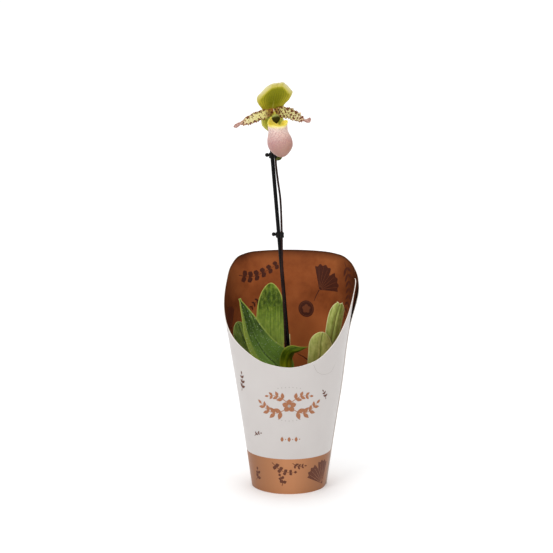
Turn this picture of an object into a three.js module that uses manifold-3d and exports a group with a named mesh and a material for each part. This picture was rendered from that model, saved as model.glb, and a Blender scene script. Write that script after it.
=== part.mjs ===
// A slipper orchid in bloom: the plant in its grow pot, and the pot in a conical carton sleeve.
// Millimetres, +Z up. The origin is the centre of the base, the front faces -Y and +X is to the right.

import * as THREE from "three";
import { mergeVertices } from "three/addons/utils/BufferGeometryUtils.js";
import Module from "manifold-3d";

const wasm = await Module();
wasm.setup();

// ---------------------------------------------------------------- driving dimensions

const GAP = 0.3; // clearance between pieces that touch

// The sleeve is a cone whose side bends out a little: radius = foot + flare z + bell z^2.
const SLEEVE = {
  foot: 43,
  flare: 0.135,
  bell: 9.5e-5,
  wall: 0.8,
  facet: 7.5, // degrees of one flat of the wrapped sheet
  innerEnd: 99, // bearing where the sheet starts, on the right, under the lap
  flats: 50, // 360 degrees and a lap of two flats
  glueTop: 184, // the lap is glued from the foot up to here
  glueFoot: 3,
};
// Height of the sleeve's edge at each bearing in degrees, 0 at the front and 90 at the right,
// from the inner end of the sheet round the front, the left and the back to its outer end.
const SLEEVE_EDGE = [
  [-276, 226],
  [-262, 235],
  [-252, 245],
  [-240, 254],
  [-226, 259.6],
  [-208, 261],
  [-152, 261],
  [-137, 258.4],
  [-124, 248],
  [-112, 230],
  [-98, 212],
  [-75, 188],
  [-50, 171.5],
  [-24, 158],
  [0, 154],
  [24, 159.5],
  [46, 177.5],
  [64, 204],
  [82, 231.5],
  [99, 240.5],
];

const POT = {
  footRadius: 39.5, // foot and rim of a 12 cm pot
  rimRadius: 57.2,
  bandRadius: 55.6, // where the body meets the rim band
  height: 110,
  bandHeight: 14,
  bandStep: 1.6, // the band stands out this far from the body
  wall: 1.2,
  floor: 2.2,
  sides: 36,
  drains: 6,
  drainRadius: 4.5,
  drainCircle: 26,
};

const BARK = {
  top: 94.5, // level of the bed that the chips lie on
  chips: 46,
  chipLength: [12, 20],
  chipWidth: [8, 12],
  chipThickness: [3.6, 5.4],
};

// The two growths of the plant, and the wells in the bark that they sit in.
const CROWN_LEFT = { x: -3, y: -15, radius: 11.2, wellRadius: 12, clearRadius: 19, roots: 4 };
const CROWN_RIGHT = { x: 23, y: 11, radius: 9, wellRadius: 9.8, clearRadius: 15, roots: 3 };
const CROWN = { top: 95.8, bottom: 84, wellBottom: 58 };
const ABOVE = 120; // over the rim, for what is cut upwards out of the pot
const RHIZOME_RADIUS = 4.6;

const STAKE = {
  foot: [11.7, 0, 14],
  tip: [-19.7, 0, 390],
  radius: 2.2,
  sides: 12,
};
const SCAPE_RADIUS = 1.2;
const SCAPE = [
  [-1, -12, 96.3],
  [-0.8, -8.2, 118],
  [-2.2, -5.2, 142],
  [-4, -4.1, 167],
  [-5.2, -4, 196],
  [-7.2, -3.9, 236],
  [-7.9, -3.9, 262],
  [-8.2, -3.9, 290],
  [-8.9, -3.9, 316],
  [-10, -3.9, 336],
  [-13, -3.9, 358],
  [-14.9, -4, 375],
  [-15.6, -4.2, 389.4],
];

// The flower's own frame: its centre, and how it is turned.
const FLOWER = {
  centre: [-17.8, -21, 432.6],
  faceUp: 9, // degrees that its face is tipped up
  turn: 16, // degrees that it faces to the right
  roll: 6, // degrees counter-clockwise, seen from the front
};

// ---------------------------------------------------------------- small helpers

const radians = THREE.MathUtils.degToRad;
const rise = THREE.MathUtils.smoothstep; // rise(x, from, to)
const mix = THREE.MathUtils.lerp;
const vec = (p) => new THREE.Vector3(...p);

// A seeded draw between 0 and 1.
function seeded(seed) {
  let state = seed;
  return () => {
    state = (state + 0x6d2b79f5) | 0;
    let t = Math.imul(state ^ (state >>> 15), 1 | state);
    t = (t + Math.imul(t ^ (t >>> 7), 61 | t)) ^ t;
    return ((t ^ (t >>> 14)) >>> 0) / 4294967296;
  };
}

// A smooth curve y(x) through the points, which never overshoots between them.
function through(points) {
  const slope = points.map(([x, y], i) => {
    if (i === 0 || i === points.length - 1) return 0;
    const before = (y - points[i - 1][1]) / (x - points[i - 1][0]);
    const after = (points[i + 1][1] - y) / (points[i + 1][0] - x);
    return before * after <= 0 ? 0 : (2 * before * after) / (before + after);
  });
  return (x) => {
    const last = points.length - 2;
    let i = 0;
    while (i < last && x > points[i + 1][0]) i++;
    const [x0, y0] = points[i];
    const [x1, y1] = points[i + 1];
    const w = x1 - x0;
    const t = THREE.MathUtils.clamp((x - x0) / w, 0, 1);
    return (
      y0 * (1 + 2 * t) * (1 - t) ** 2 +
      y1 * t * t * (3 - 2 * t) +
      w * (slope[i] * t * (1 - t) ** 2 - slope[i + 1] * t * t * (1 - t))
    );
  };
}

// A geometry of these vertices and triangles, with its faces turned outwards.
function closedGeometry(points, triangles) {
  const geometry = new THREE.BufferGeometry().setFromPoints(points);
  let volume = 0;
  for (const [a, b, c] of triangles)
    volume += points[a].dot(points[b].clone().cross(points[c]));
  const order = volume < 0 ? ([a, b, c]) => [a, c, b] : (t) => t;
  geometry.setIndex(triangles.flatMap(order));
  return geometry;
}

// Any geometry with shared vertices only, faces outwards.
function welded(source) {
  const bare = source.index ? source.toNonIndexed() : source.clone();
  const plain = new THREE.BufferGeometry().setAttribute(
    "position",
    bare.getAttribute("position"),
  );
  const merged = mergeVertices(plain, 1e-3);
  const at = merged.getAttribute("position");
  const points = Array.from({ length: at.count }, (_, i) =>
    new THREE.Vector3().fromBufferAttribute(at, i),
  );
  const index = merged.index.array;
  const triangles = [];
  for (let i = 0; i < index.length; i += 3) {
    const [a, b, c] = index.slice(i, i + 3);
    if (a !== b && b !== c && c !== a) triangles.push([a, b, c]);
  }
  return closedGeometry(points, triangles);
}

function solid(geometry) {
  const clean = welded(geometry);
  return new wasm.Manifold(
    new wasm.Mesh({
      numProp: 3,
      vertProperties: new Float32Array(clean.getAttribute("position").array),
      triVerts: new Uint32Array(clean.index.array),
    }),
  );
}

function geometryOf(manifold) {
  const mesh = manifold.getMesh();
  const geometry = new THREE.BufferGeometry();
  geometry.setAttribute(
    "position",
    new THREE.BufferAttribute(new Float32Array(mesh.vertProperties), 3),
  );
  geometry.setIndex(new THREE.BufferAttribute(new Uint32Array(mesh.triVerts), 1));
  return geometry;
}

// A thin closed sheet. surface(u, v) gives its middle, thickness(u, v) its wall, and both faces
// are split into the same triangles. us and vs are the grid lines.
function sheet(us, vs, surface, thickness) {
  const points = [];
  const small = 1e-3;
  const uEnd = us[us.length - 1];
  const vEnd = vs[vs.length - 1];
  const sides = [-0.5, 0.5];
  for (const side of sides)
    for (const u of us)
      for (const v of vs) {
        const u0 = Math.max(us[0], u - small);
        const u1 = Math.min(uEnd, u + small);
        const v0 = Math.max(vs[0], v - small);
        const v1 = Math.min(vEnd, v + small);
        const along = surface(u1, v).sub(surface(u0, v));
        const across = surface(u, v1).sub(surface(u, v0));
        const normal = along.cross(across).normalize();
        points.push(surface(u, v).addScaledVector(normal, side * thickness(u, v)));
      }
  const nu = us.length;
  const nv = vs.length;
  const at = (side, i, j) => side * nu * nv + i * nv + j;
  const triangles = [];
  for (let i = 0; i < nu - 1; i++)
    for (let j = 0; j < nv - 1; j++) {
      const corners = [at(0, i, j), at(0, i + 1, j), at(0, i + 1, j + 1), at(0, i, j + 1)];
      const [a, b, c, d] = corners;
      const [e, f, g, h] = corners.map((k) => k + nu * nv);
      triangles.push([a, b, c], [a, c, d], [e, g, f], [e, h, g]);
    }
  const wall = (p, q) => {
    const [r, s] = [p + nu * nv, q + nu * nv];
    triangles.push([p, r, s], [p, s, q]);
  };
  for (let i = 0; i < nu - 1; i++) {
    wall(at(0, i, 0), at(0, i + 1, 0));
    wall(at(0, i + 1, nv - 1), at(0, i, nv - 1));
  }
  for (let j = 0; j < nv - 1; j++) {
    wall(at(0, nu - 1, j), at(0, nu - 1, j + 1));
    wall(at(0, 0, j + 1), at(0, 0, j));
  }
  return closedGeometry(points, triangles);
}

// Grid lines from 0 to 1, closer together towards 1.
const gridLines = (count, crowding) =>
  Array.from({ length: count + 1 }, (_, i) => {
    const even = i / count;
    return mix(even, Math.sin((even * Math.PI) / 2), crowding);
  });

// A round solid along a curve, with the radius radiusAt(t) and flat ends.
function limb(points, radiusAt, sides, steps) {
  const curve = new THREE.CatmullRomCurve3(points.map(vec));
  const frames = curve.computeFrenetFrames(steps, false);
  const rings = [];
  for (let i = 0; i <= steps; i++) {
    const centre = curve.getPointAt(i / steps);
    for (let k = 0; k < sides; k++) {
      const angle = (2 * Math.PI * k) / sides;
      const reach = radiusAt(i / steps);
      rings.push(
        centre
          .clone()
          .addScaledVector(frames.normals[i], reach * Math.cos(angle))
          .addScaledVector(frames.binormals[i], reach * Math.sin(angle)),
      );
    }
  }
  const triangles = [];
  for (let i = 0; i < steps; i++)
    for (let k = 0; k < sides; k++) {
      const next = (k + 1) % sides;
      const [a, b] = [i * sides + k, i * sides + next];
      triangles.push([a, b, b + sides], [a, b + sides, a + sides]);
    }
  for (let k = 1; k < sides - 1; k++) {
    const end = steps * sides;
    triangles.push([0, k + 1, k], [end, end + k, end + k + 1]);
  }
  return closedGeometry(rings, triangles);
}

// A tube of one radius along a curve.
function tube(points, radius, sides, steps) {
  const section = new THREE.Shape(
    Array.from({ length: sides }, (_, k) => {
      const angle = (2 * Math.PI * k) / sides;
      return new THREE.Vector2(radius * Math.cos(angle), radius * Math.sin(angle));
    }),
  );
  const extrudePath = new THREE.CatmullRomCurve3(points.map(vec));
  return new THREE.ExtrudeGeometry(section, { steps, extrudePath, bevelEnabled: false });
}

// A solid of revolution about Z from [radius, height] pairs that start and end on the axis.
const turned = (profile, sides) =>
  new THREE.LatheGeometry(
    profile.map(([r, z]) => new THREE.Vector2(r, z)),
    sides,
  ).rotateX(Math.PI / 2);

// An upright cylinder from one height to another.
const post = (x, y, radius, from, to, sides) =>
  new THREE.CylinderGeometry(radius, radius, to - from, sides)
    .rotateX(Math.PI / 2)
    .translate(x, y, (from + to) / 2);

// ---------------------------------------------------------------- blades: leaves, sepals, petals

// A blade grows along its rib. half(t) is its half width, face(t) the way its upper side looks,
// fold(t) how far its edges rise above the rib as a share of the width, and wave(t, s) a ripple.
// `tilt` skews the blade along its rib, and `notch` cuts its tip back at the rib.
function bladeSurface({ rib, half, face, fold, wave = () => 0, tilt = 0, notch = 0 }) {
  const curve = new THREE.CatmullRomCurve3(rib.map(vec), false, "centripetal");
  return (t, s) => {
    const centre = curve.getPointAt(t);
    const along = curve.getTangentAt(t);
    const up = face(t).clone();
    up.addScaledVector(along, -up.dot(along)).normalize();
    const across = along.clone().cross(up).normalize();
    const reach = half(t) * s;
    const lift = fold(t) * half(t) * Math.abs(s) ** 1.7 + wave(t, s);
    return centre
      .addScaledVector(across, reach)
      .addScaledVector(along, tilt * reach - notch * rise(t, 0.86, 1) * (1 - Math.abs(s)) ** 1.5)
      .addScaledVector(up, lift);
  };
}

function blade(shape, { along, across, crowding = 0.6, middle, edge }) {
  const ts = gridLines(along, crowding);
  const ss = Array.from({ length: across + 1 }, (_, i) => (2 * i) / across - 1);
  const thickness = (t, s) => mix(middle, edge, Math.abs(s));
  return sheet(ts, ss, bladeSurface(shape), thickness);
}

// Half width of a leaf: a narrow stalk that widens to the widest place at `peak`, and from there
// closes to the tip, bluntly for a high `bluntness`.
function leafWidth({ stalk, widest, peak, bluntness, tip = 0.55 }) {
  return (t) => {
    const body = mix(stalk, widest, rise(t, 0.04, peak));
    const past = Math.max(0, (t - peak) / (1 - peak));
    return Math.max(tip, body * (1 - past ** bluntness) ** (1 / Math.sqrt(bluntness)));
  };
}

const turning = (from, to) => (t) => vec(from).lerp(vec(to), rise(t, 0, 0.45));

const LEAVES = [
  {
    name: "leaf_tall",
    colour: 0x5f8a2c,
    rib: [
      [-3, -7.4, 96.3],
      [-8, -1, 122],
      [-16, 6, 146],
      [-20.6, 12, 170],
      [-20.8, 19, 205],
      [-20.6, 24, 233],
    ],
    width: { stalk: 3.6, widest: 16.6, peak: 0.66, bluntness: 2.7 },
    face: [[0.1, -1, 0.1], [0, -1, 0.1]],
    fold: [0.6, 0.14],
  },
  {
    name: "leaf_pointed",
    colour: 0x3f6f2a,
    rib: [
      [-10, -14, 96.3],
      [-9.6, -15.5, 122],
      [-12.1, -17, 142],
      [-28.1, -19.6, 160],
      [-39.6, -19.6, 180],
      [-47.5, -18, 200.6],
      [-56.2, -15.2, 222.4],
    ],
    width: { stalk: 3.6, widest: 19, peak: 0.43, bluntness: 1.3, tip: 1.5 },
    face: [[0.7, -0.7, 0], [0.36, -0.9, 0.2]],
    fold: [0.8, 0.4],
  },
  {
    name: "leaf_far_left",
    colour: 0x47682c,
    rib: [[-12.6, -9.6, 96.6], [-21, -11, 122], [-38.6, -7.5, 150], [-51.2, -3, 172], [-59.3, 1, 192]],
    width: { stalk: 3.6, widest: 14.2, peak: 0.69, bluntness: 2.65 },
    face: [[0.8, -0.5, 0.1], [0.4, -0.85, 0.3]],
    fold: [0.7, 0.22],
  },
  {
    name: "leaf_curled",
    colour: 0x55701c,
    rib: [
      [2, -20.5, 96.5],
      [-1.5, -22, 122],
      [-3, -23.5, 143.2],
      [-2.2, -26, 155.3],
      [2.4, -29, 163.6],
      [11.1, -28.5, 165.7],
      [20.8, -25, 168.5],
    ],
    width: { stalk: 3.6, widest: 7.7, peak: 0.77, bluntness: 1 },
    face: [[-0.1, 1, 0], [-0.25, 0.85, 0.45]],
    fold: [0.9, 0.4],
  },
  {
    name: "leaf_young",
    colour: 0x7a9a3c,
    rib: [[6, -9, 96.4], [9.2, -2, 109], [7.8, 5, 121], [-1, 10.5, 145], [0.8, 14, 174.5]],
    width: { stalk: 2.2, widest: 3.4, peak: 0.6, bluntness: 1.7 },
    face: [[-0.5, -0.85, 0], [-0.2, -1, 0.1]],
    fold: [0.8, 0.35],
  },
  {
    name: "leaf_broad_right",
    colour: 0x8fa257,
    rib: [
      [17.8, 5.4, 96.9],
      [23.4, 2, 120],
      [33.1, -1, 140.7],
      [36.1, -3, 155.3],
      [36.4, -4, 168.3],
      [38.7, -4, 181.1],
    ],
    width: { stalk: 3.2, widest: 13.9, peak: 0.7, bluntness: 2.95 },
    face: [[0, 1, 0], [-0.1, 1, 0.1]],
    fold: [0.8, 0.16],
  },
  {
    name: "leaf_notched_right",
    colour: 0x8ca457,
    rib: [
      [28.2, 9, 97],
      [35.6, 8.4, 122],
      [43.9, 4.5, 150.4],
      [49.6, 1, 174.7],
      [53.6, -2, 197.6],
      [58.4, -4, 215.7],
    ],
    width: { stalk: 3.2, widest: 8.8, peak: 0.81, bluntness: 3.2, tip: 3.4 },
    face: [[-0.3, 0.95, 0], [-0.1, 1, 0.1]],
    fold: [0.8, 0.2],
    notch: 1.8,
  },
  {
    name: "leaf_low_back",
    colour: 0x55752f,
    rib: [[23.5, 16.2, 96.3], [25, 23, 112], [27, 34, 124], [29, 43, 127]],
    width: { stalk: 3.6, widest: 8.5, peak: 0.6, bluntness: 2.2 },
    face: [[0, -1, 0.1], [0, -0.5, 1]],
    fold: [0.8, 0.25],
  },
  {
    name: "leaf_low_front",
    colour: 0x4f7430,
    rib: [[-6.5, -24, 96.3], [-5, -29, 110], [-1, -39, 119], [4, -50, 119]],
    width: { stalk: 3.6, widest: 8.5, peak: 0.6, bluntness: 2.2 },
    face: [[0, 1, 0.1], [0, 0.4, 1]],
    fold: [0.8, 0.25],
  },
];
const LEAF_THICKNESS = { middle: 1.5, edge: 0.85 };

function leaf({ rib, width, face, fold, notch }) {
  const shape = {
    rib,
    half: leafWidth(width),
    face: turning(...face),
    fold: (t) => mix(fold[0], fold[1], rise(t, 0.05, 0.5)),
    notch,
  };
  return blade(shape, { along: 15, across: 6, ...LEAF_THICKNESS });
}

// ---------------------------------------------------------------- the sleeve, pot and bark

const sleeveRadius = (z) => SLEEVE.foot + SLEEVE.flare * z + SLEEVE.bell * z * z;
const sleeveEdge = through(SLEEVE_EDGE);

// How far the sheet is drawn in at the lap: both ends up to the glue's top, and above it the inner
// end stays in while the outer end springs back out.
function lapPull(bearing, z) {
  const inner = rise(bearing, 45, 88);
  const outer = rise(-bearing, 215, 262);
  const held = -2.6 * rise(z, 110, SLEEVE.glueTop);
  const innerDraw = held - 1.4 * rise(z, SLEEVE.glueTop, 235);
  const outerDraw = held + 3.0 * rise(z, SLEEVE.glueTop, 226);
  return inner * innerDraw + outer * outerDraw;
}

// A point of the sheet's outer face, moved out by `offset`. The outer end rides over the inner.
function sleevePoint(bearing, z, offset) {
  const overInner = (SLEEVE.wall + GAP) * rise(-bearing, 246, 258);
  const radius = sleeveRadius(z) + lapPull(bearing, z) + overInner + offset;
  const angle = radians(bearing);
  return new THREE.Vector3(radius * Math.sin(angle), -radius * Math.cos(angle), z);
}

function makeSleeve() {
  const rows = [0, 0.25, 0.48, 0.68, 0.86, 1];
  const columns = Array.from(
    { length: SLEEVE.flats + 1 },
    (_, i) => SLEEVE.innerEnd - SLEEVE.facet * i,
  );
  const points = [];
  for (const offset of [0, -SLEEVE.wall])
    for (const bearing of columns)
      for (const v of rows)
        points.push(sleevePoint(bearing, v * sleeveEdge(bearing), offset));
  const nv = rows.length;
  const half = columns.length * nv;
  const triangles = [];
  const quad = (a, b, c, d) => triangles.push([a, b, c], [a, c, d]);
  for (let i = 0; i < columns.length - 1; i++) {
    for (let j = 0; j < nv - 1; j++) {
      const a = i * nv + j;
      quad(a, a + 1, a + nv + 1, a + nv);
      quad(half + a, half + a + nv, half + a + nv + 1, half + a + 1);
    }
    const foot = i * nv;
    quad(foot, foot + nv, half + foot + nv, half + foot);
    const top = foot + nv - 1;
    quad(top, half + top, half + top + nv, top + nv);
  }
  for (const [column, flip] of [[0, false], [columns.length - 1, true]])
    for (let j = 0; j < nv - 1; j++) {
      const a = column * nv + j;
      const ring = [a, half + a, half + a + 1, a + 1];
      quad(...(flip ? ring.reverse() : ring));
    }
  const wrapped = closedGeometry(points, triangles);

  // The glue line between the two ends of the sheet.
  const bearings = [0.5, 1, 1.5].map((k) => SLEEVE.innerEnd - SLEEVE.facet * k);
  const heights = [SLEEVE.glueFoot, 60, 120, SLEEVE.glueTop];
  const glue = sheet(
    bearings,
    heights,
    (bearing, z) => sleevePoint(bearing, z, GAP / 2),
    () => GAP + 0.7,
  );
  return geometryOf(solid(wrapped).add(solid(glue)));
}

const potBodyRadius = (z) =>
  mix(POT.footRadius, POT.bandRadius - POT.bandStep, z / (POT.height - POT.bandHeight));

function makeGrowPot() {
  const bandFoot = POT.height - POT.bandHeight;
  const inner = (z) => potBodyRadius(z) - POT.wall;
  const shell = turned(
    [
      [0, 0],
      [POT.footRadius - 1.5, 0],
      [POT.footRadius, 1.5],
      [potBodyRadius(bandFoot), bandFoot],
      [POT.bandRadius, bandFoot],
      [POT.rimRadius - 0.6, POT.height - 1],
      [POT.rimRadius, POT.height],
      [POT.rimRadius - 2.2, POT.height],
      [POT.bandRadius - POT.wall - 0.6, bandFoot + POT.wall],
      [inner(bandFoot), bandFoot + POT.wall - 0.4],
      [inner(POT.floor), POT.floor],
      [0, POT.floor],
    ],
    POT.sides,
  );
  let pot = solid(shell);
  for (let i = 0; i < POT.drains; i++) {
    const angle = (2 * Math.PI * i) / POT.drains;
    const [x, y] = [POT.drainCircle * Math.cos(angle), POT.drainCircle * Math.sin(angle)];
    pot = pot.subtract(solid(post(x, y, POT.drainRadius, -1, POT.floor + 1, 10)));
  }
  return geometryOf(pot);
}

function barkChip(random) {
  const between = ([low, high]) => mix(low, high, random());
  const [l, w, h] = [BARK.chipLength, BARK.chipWidth, BARK.chipThickness].map(between);
  const chip = welded(new THREE.BoxGeometry(l, w, h));
  const at = chip.getAttribute("position");
  for (let i = 0; i < at.count; i++)
    at.setXYZ(
      i,
      at.getX(i) * mix(0.7, 1.1, random()),
      at.getY(i) * mix(0.7, 1.1, random()),
      at.getZ(i) * mix(0.75, 1.1, random()),
    );
  return { chip, reach: Math.hypot(l, w) * 0.55 };
}

function makeSubstrate() {
  const bandFoot = POT.height - POT.bandHeight;
  const inner = (z) => potBodyRadius(z) - POT.wall - GAP;
  const bed = turned(
    [
      [0, POT.floor + GAP],
      [inner(POT.floor) - 0.2, POT.floor + GAP],
      [inner(BARK.top), BARK.top],
      [0, BARK.top],
    ],
    POT.sides,
  );
  let bark = solid(bed);
  const random = seeded(7);
  const chips = [];
  for (let i = 0; i < BARK.chips; i++) {
    const { chip, reach } = barkChip(random);
    // An even spiral over the bed, so the chips cover it.
    const radius = (inner(bandFoot) - reach * 0.75) * Math.sqrt((i + 0.5) / BARK.chips);
    const angle = i * 2.39996;
    chip.rotateX(mix(-0.35, 0.35, random())).rotateY(mix(-0.35, 0.35, random()));
    chip.rotateZ(random() * Math.PI);
    const level = BARK.top + mix(0, 1.6, random());
    chip.translate(radius * Math.cos(angle), radius * Math.sin(angle), level);
    chips.push(solid(chip));
  }
  bark = wasm.Manifold.union([bark, ...chips]);
  const room = turned(
    [
      [0, 0],
      [inner(0), 0],
      [inner(bandFoot), bandFoot],
      [inner(bandFoot), ABOVE],
      [0, ABOVE],
    ],
    POT.sides,
  );
  bark = bark.intersect(solid(room));
  for (const { x, y, wellRadius, clearRadius } of [CROWN_LEFT, CROWN_RIGHT]) {
    bark = bark.subtract(solid(post(x, y, wellRadius, CROWN.wellBottom, ABOVE, 16)));
    bark = bark.subtract(solid(post(x, y, clearRadius, BARK.top, ABOVE, 16)));
  }
  const trench = tube(RHIZOME_ROUTE, RHIZOME_RADIUS + 1, 8, 10);
  const upward = tube(RHIZOME_ROUTE.map(([x, y, z]) => [x, y, z + 5]), RHIZOME_RADIUS + 1, 8, 10);
  bark = bark.subtract(solid(trench)).subtract(solid(upward));
  const hole = tube(STAKE_LINE, STAKE.radius + 0.5, STAKE.sides, 1);
  bark = bark.subtract(solid(hole));
  // What is cut loose is dropped.
  const bodies = bark.decompose().sort((a, b) => b.volume() - a.volume());
  return geometryOf(bodies[0]);
}

// ---------------------------------------------------------------- stem base, stake and clips

const RHIZOME_ROUTE = [
  [CROWN_LEFT.x, CROWN_LEFT.y, 90],
  [10, -13.5, 89.5],
  [19, -6, 89.5],
  [CROWN_RIGHT.x, CROWN_RIGHT.y, 90],
];

const stakeFoot = vec(STAKE.foot);
const stakeWay = vec(STAKE.tip).sub(stakeFoot);
const STAKE_LINE = [-0.008, 1.04].map((t) => stakeFoot.clone().addScaledVector(stakeWay, t).toArray());

function makeRhizome() {
  const crown = ({ x, y, radius }) =>
    solid(
      turned(
        [
          [0, CROWN.bottom],
          [radius * 0.6, CROWN.bottom],
          [radius * 0.94, CROWN.bottom + 4],
          [radius, CROWN.top - 3],
          [radius * 0.93, CROWN.top],
          [0, CROWN.top],
        ],
        14,
      ).translate(x, y, 0),
    );
  const pieces = [
    solid(tube(RHIZOME_ROUTE, RHIZOME_RADIUS, 8, 10)),
    crown(CROWN_LEFT),
    crown(CROWN_RIGHT),
  ];
  const random = seeded(21);
  for (const { x, y, radius, roots } of [CROWN_LEFT, CROWN_RIGHT])
    for (let i = 0; i < roots; i++) {
      const angle = (2 * Math.PI * (i + 0.3 * random())) / roots;
      const [cx, cy] = [Math.cos(angle), Math.sin(angle)];
      const point = (share, z) => [x + cx * radius * share, y + cy * radius * share, z];
      const line = [
        point(0.45, CROWN.bottom + 3),
        point(0.62, CROWN.bottom - 8),
        point(0.7, CROWN.bottom - 15),
        point(0.55, CROWN.wellBottom + 2),
      ];
      pieces.push(solid(limb(line, (t) => mix(2.1, 1.4, t), 6, 6)));
    }
  return geometryOf(wasm.Manifold.union(pieces));
}

function makeStake() {
  const length = stakeWay.length();
  const bevel = 0.8;
  const profile = [
    [0, 0],
    [STAKE.radius * 0.5, 0],
    [STAKE.radius, 4],
    [STAKE.radius, length - bevel],
    [STAKE.radius * 0.6, length],
    [0, length],
  ];
  return turned(profile, STAKE.sides);
}

// Turns +Z to the stake's direction.
const stakeTurn = new THREE.Quaternion().setFromUnitVectors(
  new THREE.Vector3(0, 0, 1),
  stakeWay.clone().normalize(),
);

const stakeAt = (z) => stakeFoot.clone().addScaledVector(stakeWay, (z - STAKE.foot[2]) / stakeWay.z);

const CLIP = { height: 6, wall: 1.1, sides: 14, leverReach: 4.8, knobRadius: 2, tabWidth: 2.4 };

// A clip is modelled about the stake's axis at its own height. `scape` is where the flower stem
// passes it.
function makeClip(scape) {
  const half = CLIP.height / 2;
  const ringRadius = STAKE.radius + GAP + CLIP.wall;
  const stemRing = SCAPE_RADIUS + GAP + 0.9;
  const [sx, sy] = scape;
  const bodyRing = solid(post(0, 0, ringRadius, -half, half, CLIP.sides));
  const stem = solid(post(sx, sy, stemRing, -half, half, CLIP.sides));
  const bridge = solid(
    new THREE.BoxGeometry(Math.hypot(sx, sy), stemRing * 1.5, CLIP.height)
      .rotateZ(Math.atan2(sy, sx))
      .translate(sx / 2, sy / 2, 0),
  );
  const lever = solid(limb([[-ringRadius + 0.8, 0, 0.4], [-CLIP.leverReach, 0, 0.9]], () => 1.1, 8, 1));
  const knob = solid(
    new THREE.SphereGeometry(CLIP.knobRadius, 10, 7).translate(-CLIP.leverReach - 0.9, 0, 1),
  );
  const tab = solid(
    new THREE.BoxGeometry(CLIP.tabWidth, 1.3, 3.2)
      .rotateY(-0.5)
      .translate(sx + stemRing - CLIP.tabWidth / 2, sy * 0.5, 1.9),
  );
  const body = wasm.Manifold.union([bodyRing, stem, bridge, lever, knob, tab]);
  const bore = solid(post(0, 0, STAKE.radius + GAP, -half - 4, half + 4, STAKE.sides));
  const stemBore = solid(post(sx, sy, SCAPE_RADIUS + GAP + 0.15, -half - 4, half + 4, 12));
  return geometryOf(body.subtract(bore).subtract(stemBore));
}

// ---------------------------------------------------------------- the flower, in its own frame

const PETAL_THICKNESS = { middle: 1.1, edge: 0.75 };
const petalHalf = through([
  [0, 2],
  [0.05, 3.3],
  [0.13, 5.2],
  [0.27, 5.6],
  [0.45, 5.4],
  [0.62, 4.7],
  [0.74, 3.2],
  [0.82, 1.3],
  [0.9, 2.2],
  [0.96, 1.7],
  [1, 0.6],
]);
const PETALS = [
  {
    name: "petal_left",
    side: -1,
    breadth: 0.84,
    rib: [
      [-1.3, 0.3, 4.4],
      [-5, 0.8, 2.6],
      [-11.5, 2.4, 1.3],
      [-17, 3.9, 0.3],
      [-23.2, 5.3, -1.6],
      [-28.4, 6.5, -3.2],
      [-33, 7.6, -4.6],
      [-37.5, 8.5, -5],
      [-41.6, 9.6, -6.8],
      [-44.6, 10.3, -7.6],
    ],
  },
  {
    name: "petal_right",
    side: 1,
    breadth: 1,
    rib: [
      [1.3, 0.3, 4.4],
      [5, 0.8, 2.6],
      [11.8, 2.2, 0.9],
      [19.4, 4.4, -0.9],
      [26.9, 6.2, -5],
      [34.5, 7.9, -9.6],
      [38.6, 8.8, -12],
      [42, 9.7, -12],
      [44.6, 10.2, -9.2],
    ],
  },
];

function petal({ rib, side, breadth }) {
  const shape = {
    rib,
    half: (t) => petalHalf(t) * breadth,
    // The outer third twists, so the end shows its edge.
    face: (t) => {
      const twist = side * 0.9 * rise(t, 0.62, 1);
      return new THREE.Vector3(0.1 * side, -Math.cos(twist), Math.sin(twist));
    },
    fold: () => -0.12,
    wave: (t, s) => {
      const ripple = Math.sin(2 * Math.PI * (9.5 * t + (s > 0 ? 0.35 : 0)));
      return 1.15 * ripple * Math.abs(s) ** 2.5 * rise(t, 0.03, 0.15) * (1 - rise(t, 0.74, 0.84));
    },
  };
  return blade(shape, { along: 44, across: 4, crowding: 0, ...PETAL_THICKNESS });
}

const dorsalHalf = through([
  [0, 7.5],
  [0.08, 11.2],
  [0.22, 14.5],
  [0.34, 17.4],
  [0.45, 19.5],
  [0.55, 20],
  [0.66, 17.6],
  [0.78, 13.6],
  [0.89, 9.6],
  [0.96, 7.6],
  [1, 4.4],
]);

function makeDorsalSepal() {
  const shape = {
    rib: [
      [0.8, 5.9, 4.2],
      [1.8, 4.6, 8.6],
      [2.7, -0.8, 14.8],
      [3.8, -6.6, 21.6],
      [5.2, -11.6, 28],
      [6.5, -15.4, 33.4],
    ],
    half: dorsalHalf,
    face: (t) => vec([0.02, -1, 0.1]).lerp(vec([0, -0.8, -0.55]), t),
    fold: () => 0,
    // Cupped forward in the middle, with the margins bent back.
    wave: (t, s) => {
      const cup = 4.2 * s ** 2 * Math.sin(Math.PI * Math.min(1, t * 1.06)) * rise(t, 0, 0.3);
      return cup - 5 * s ** 4 * rise(t, 0.05, 0.5) * (1 - 0.8 * rise(t, 0.8, 1));
    },
    tilt: 0.2,
  };
  return blade(shape, { along: 15, across: 10, crowding: 0.35, middle: 1.1, edge: 0.7 });
}

function makeSynsepal() {
  const width = through([[0, 7], [0.12, 10.6], [0.3, 12.6], [0.5, 11], [0.72, 7.4], [0.9, 3.6], [1, 0.8]]);
  const shape = {
    rib: [[-0.8, 5.2, -2.9], [-0.8, 6, -6], [-0.6, 6, -12], [-0.3, 5, -17.6], [0, 3.4, -22.6]],
    half: width,
    face: () => vec([0, -1, 0.05]),
    fold: () => 0.14,
  };
  return blade(shape, { along: 12, across: 6, crowding: 0.3, middle: 1.1, edge: 0.7 });
}

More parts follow.
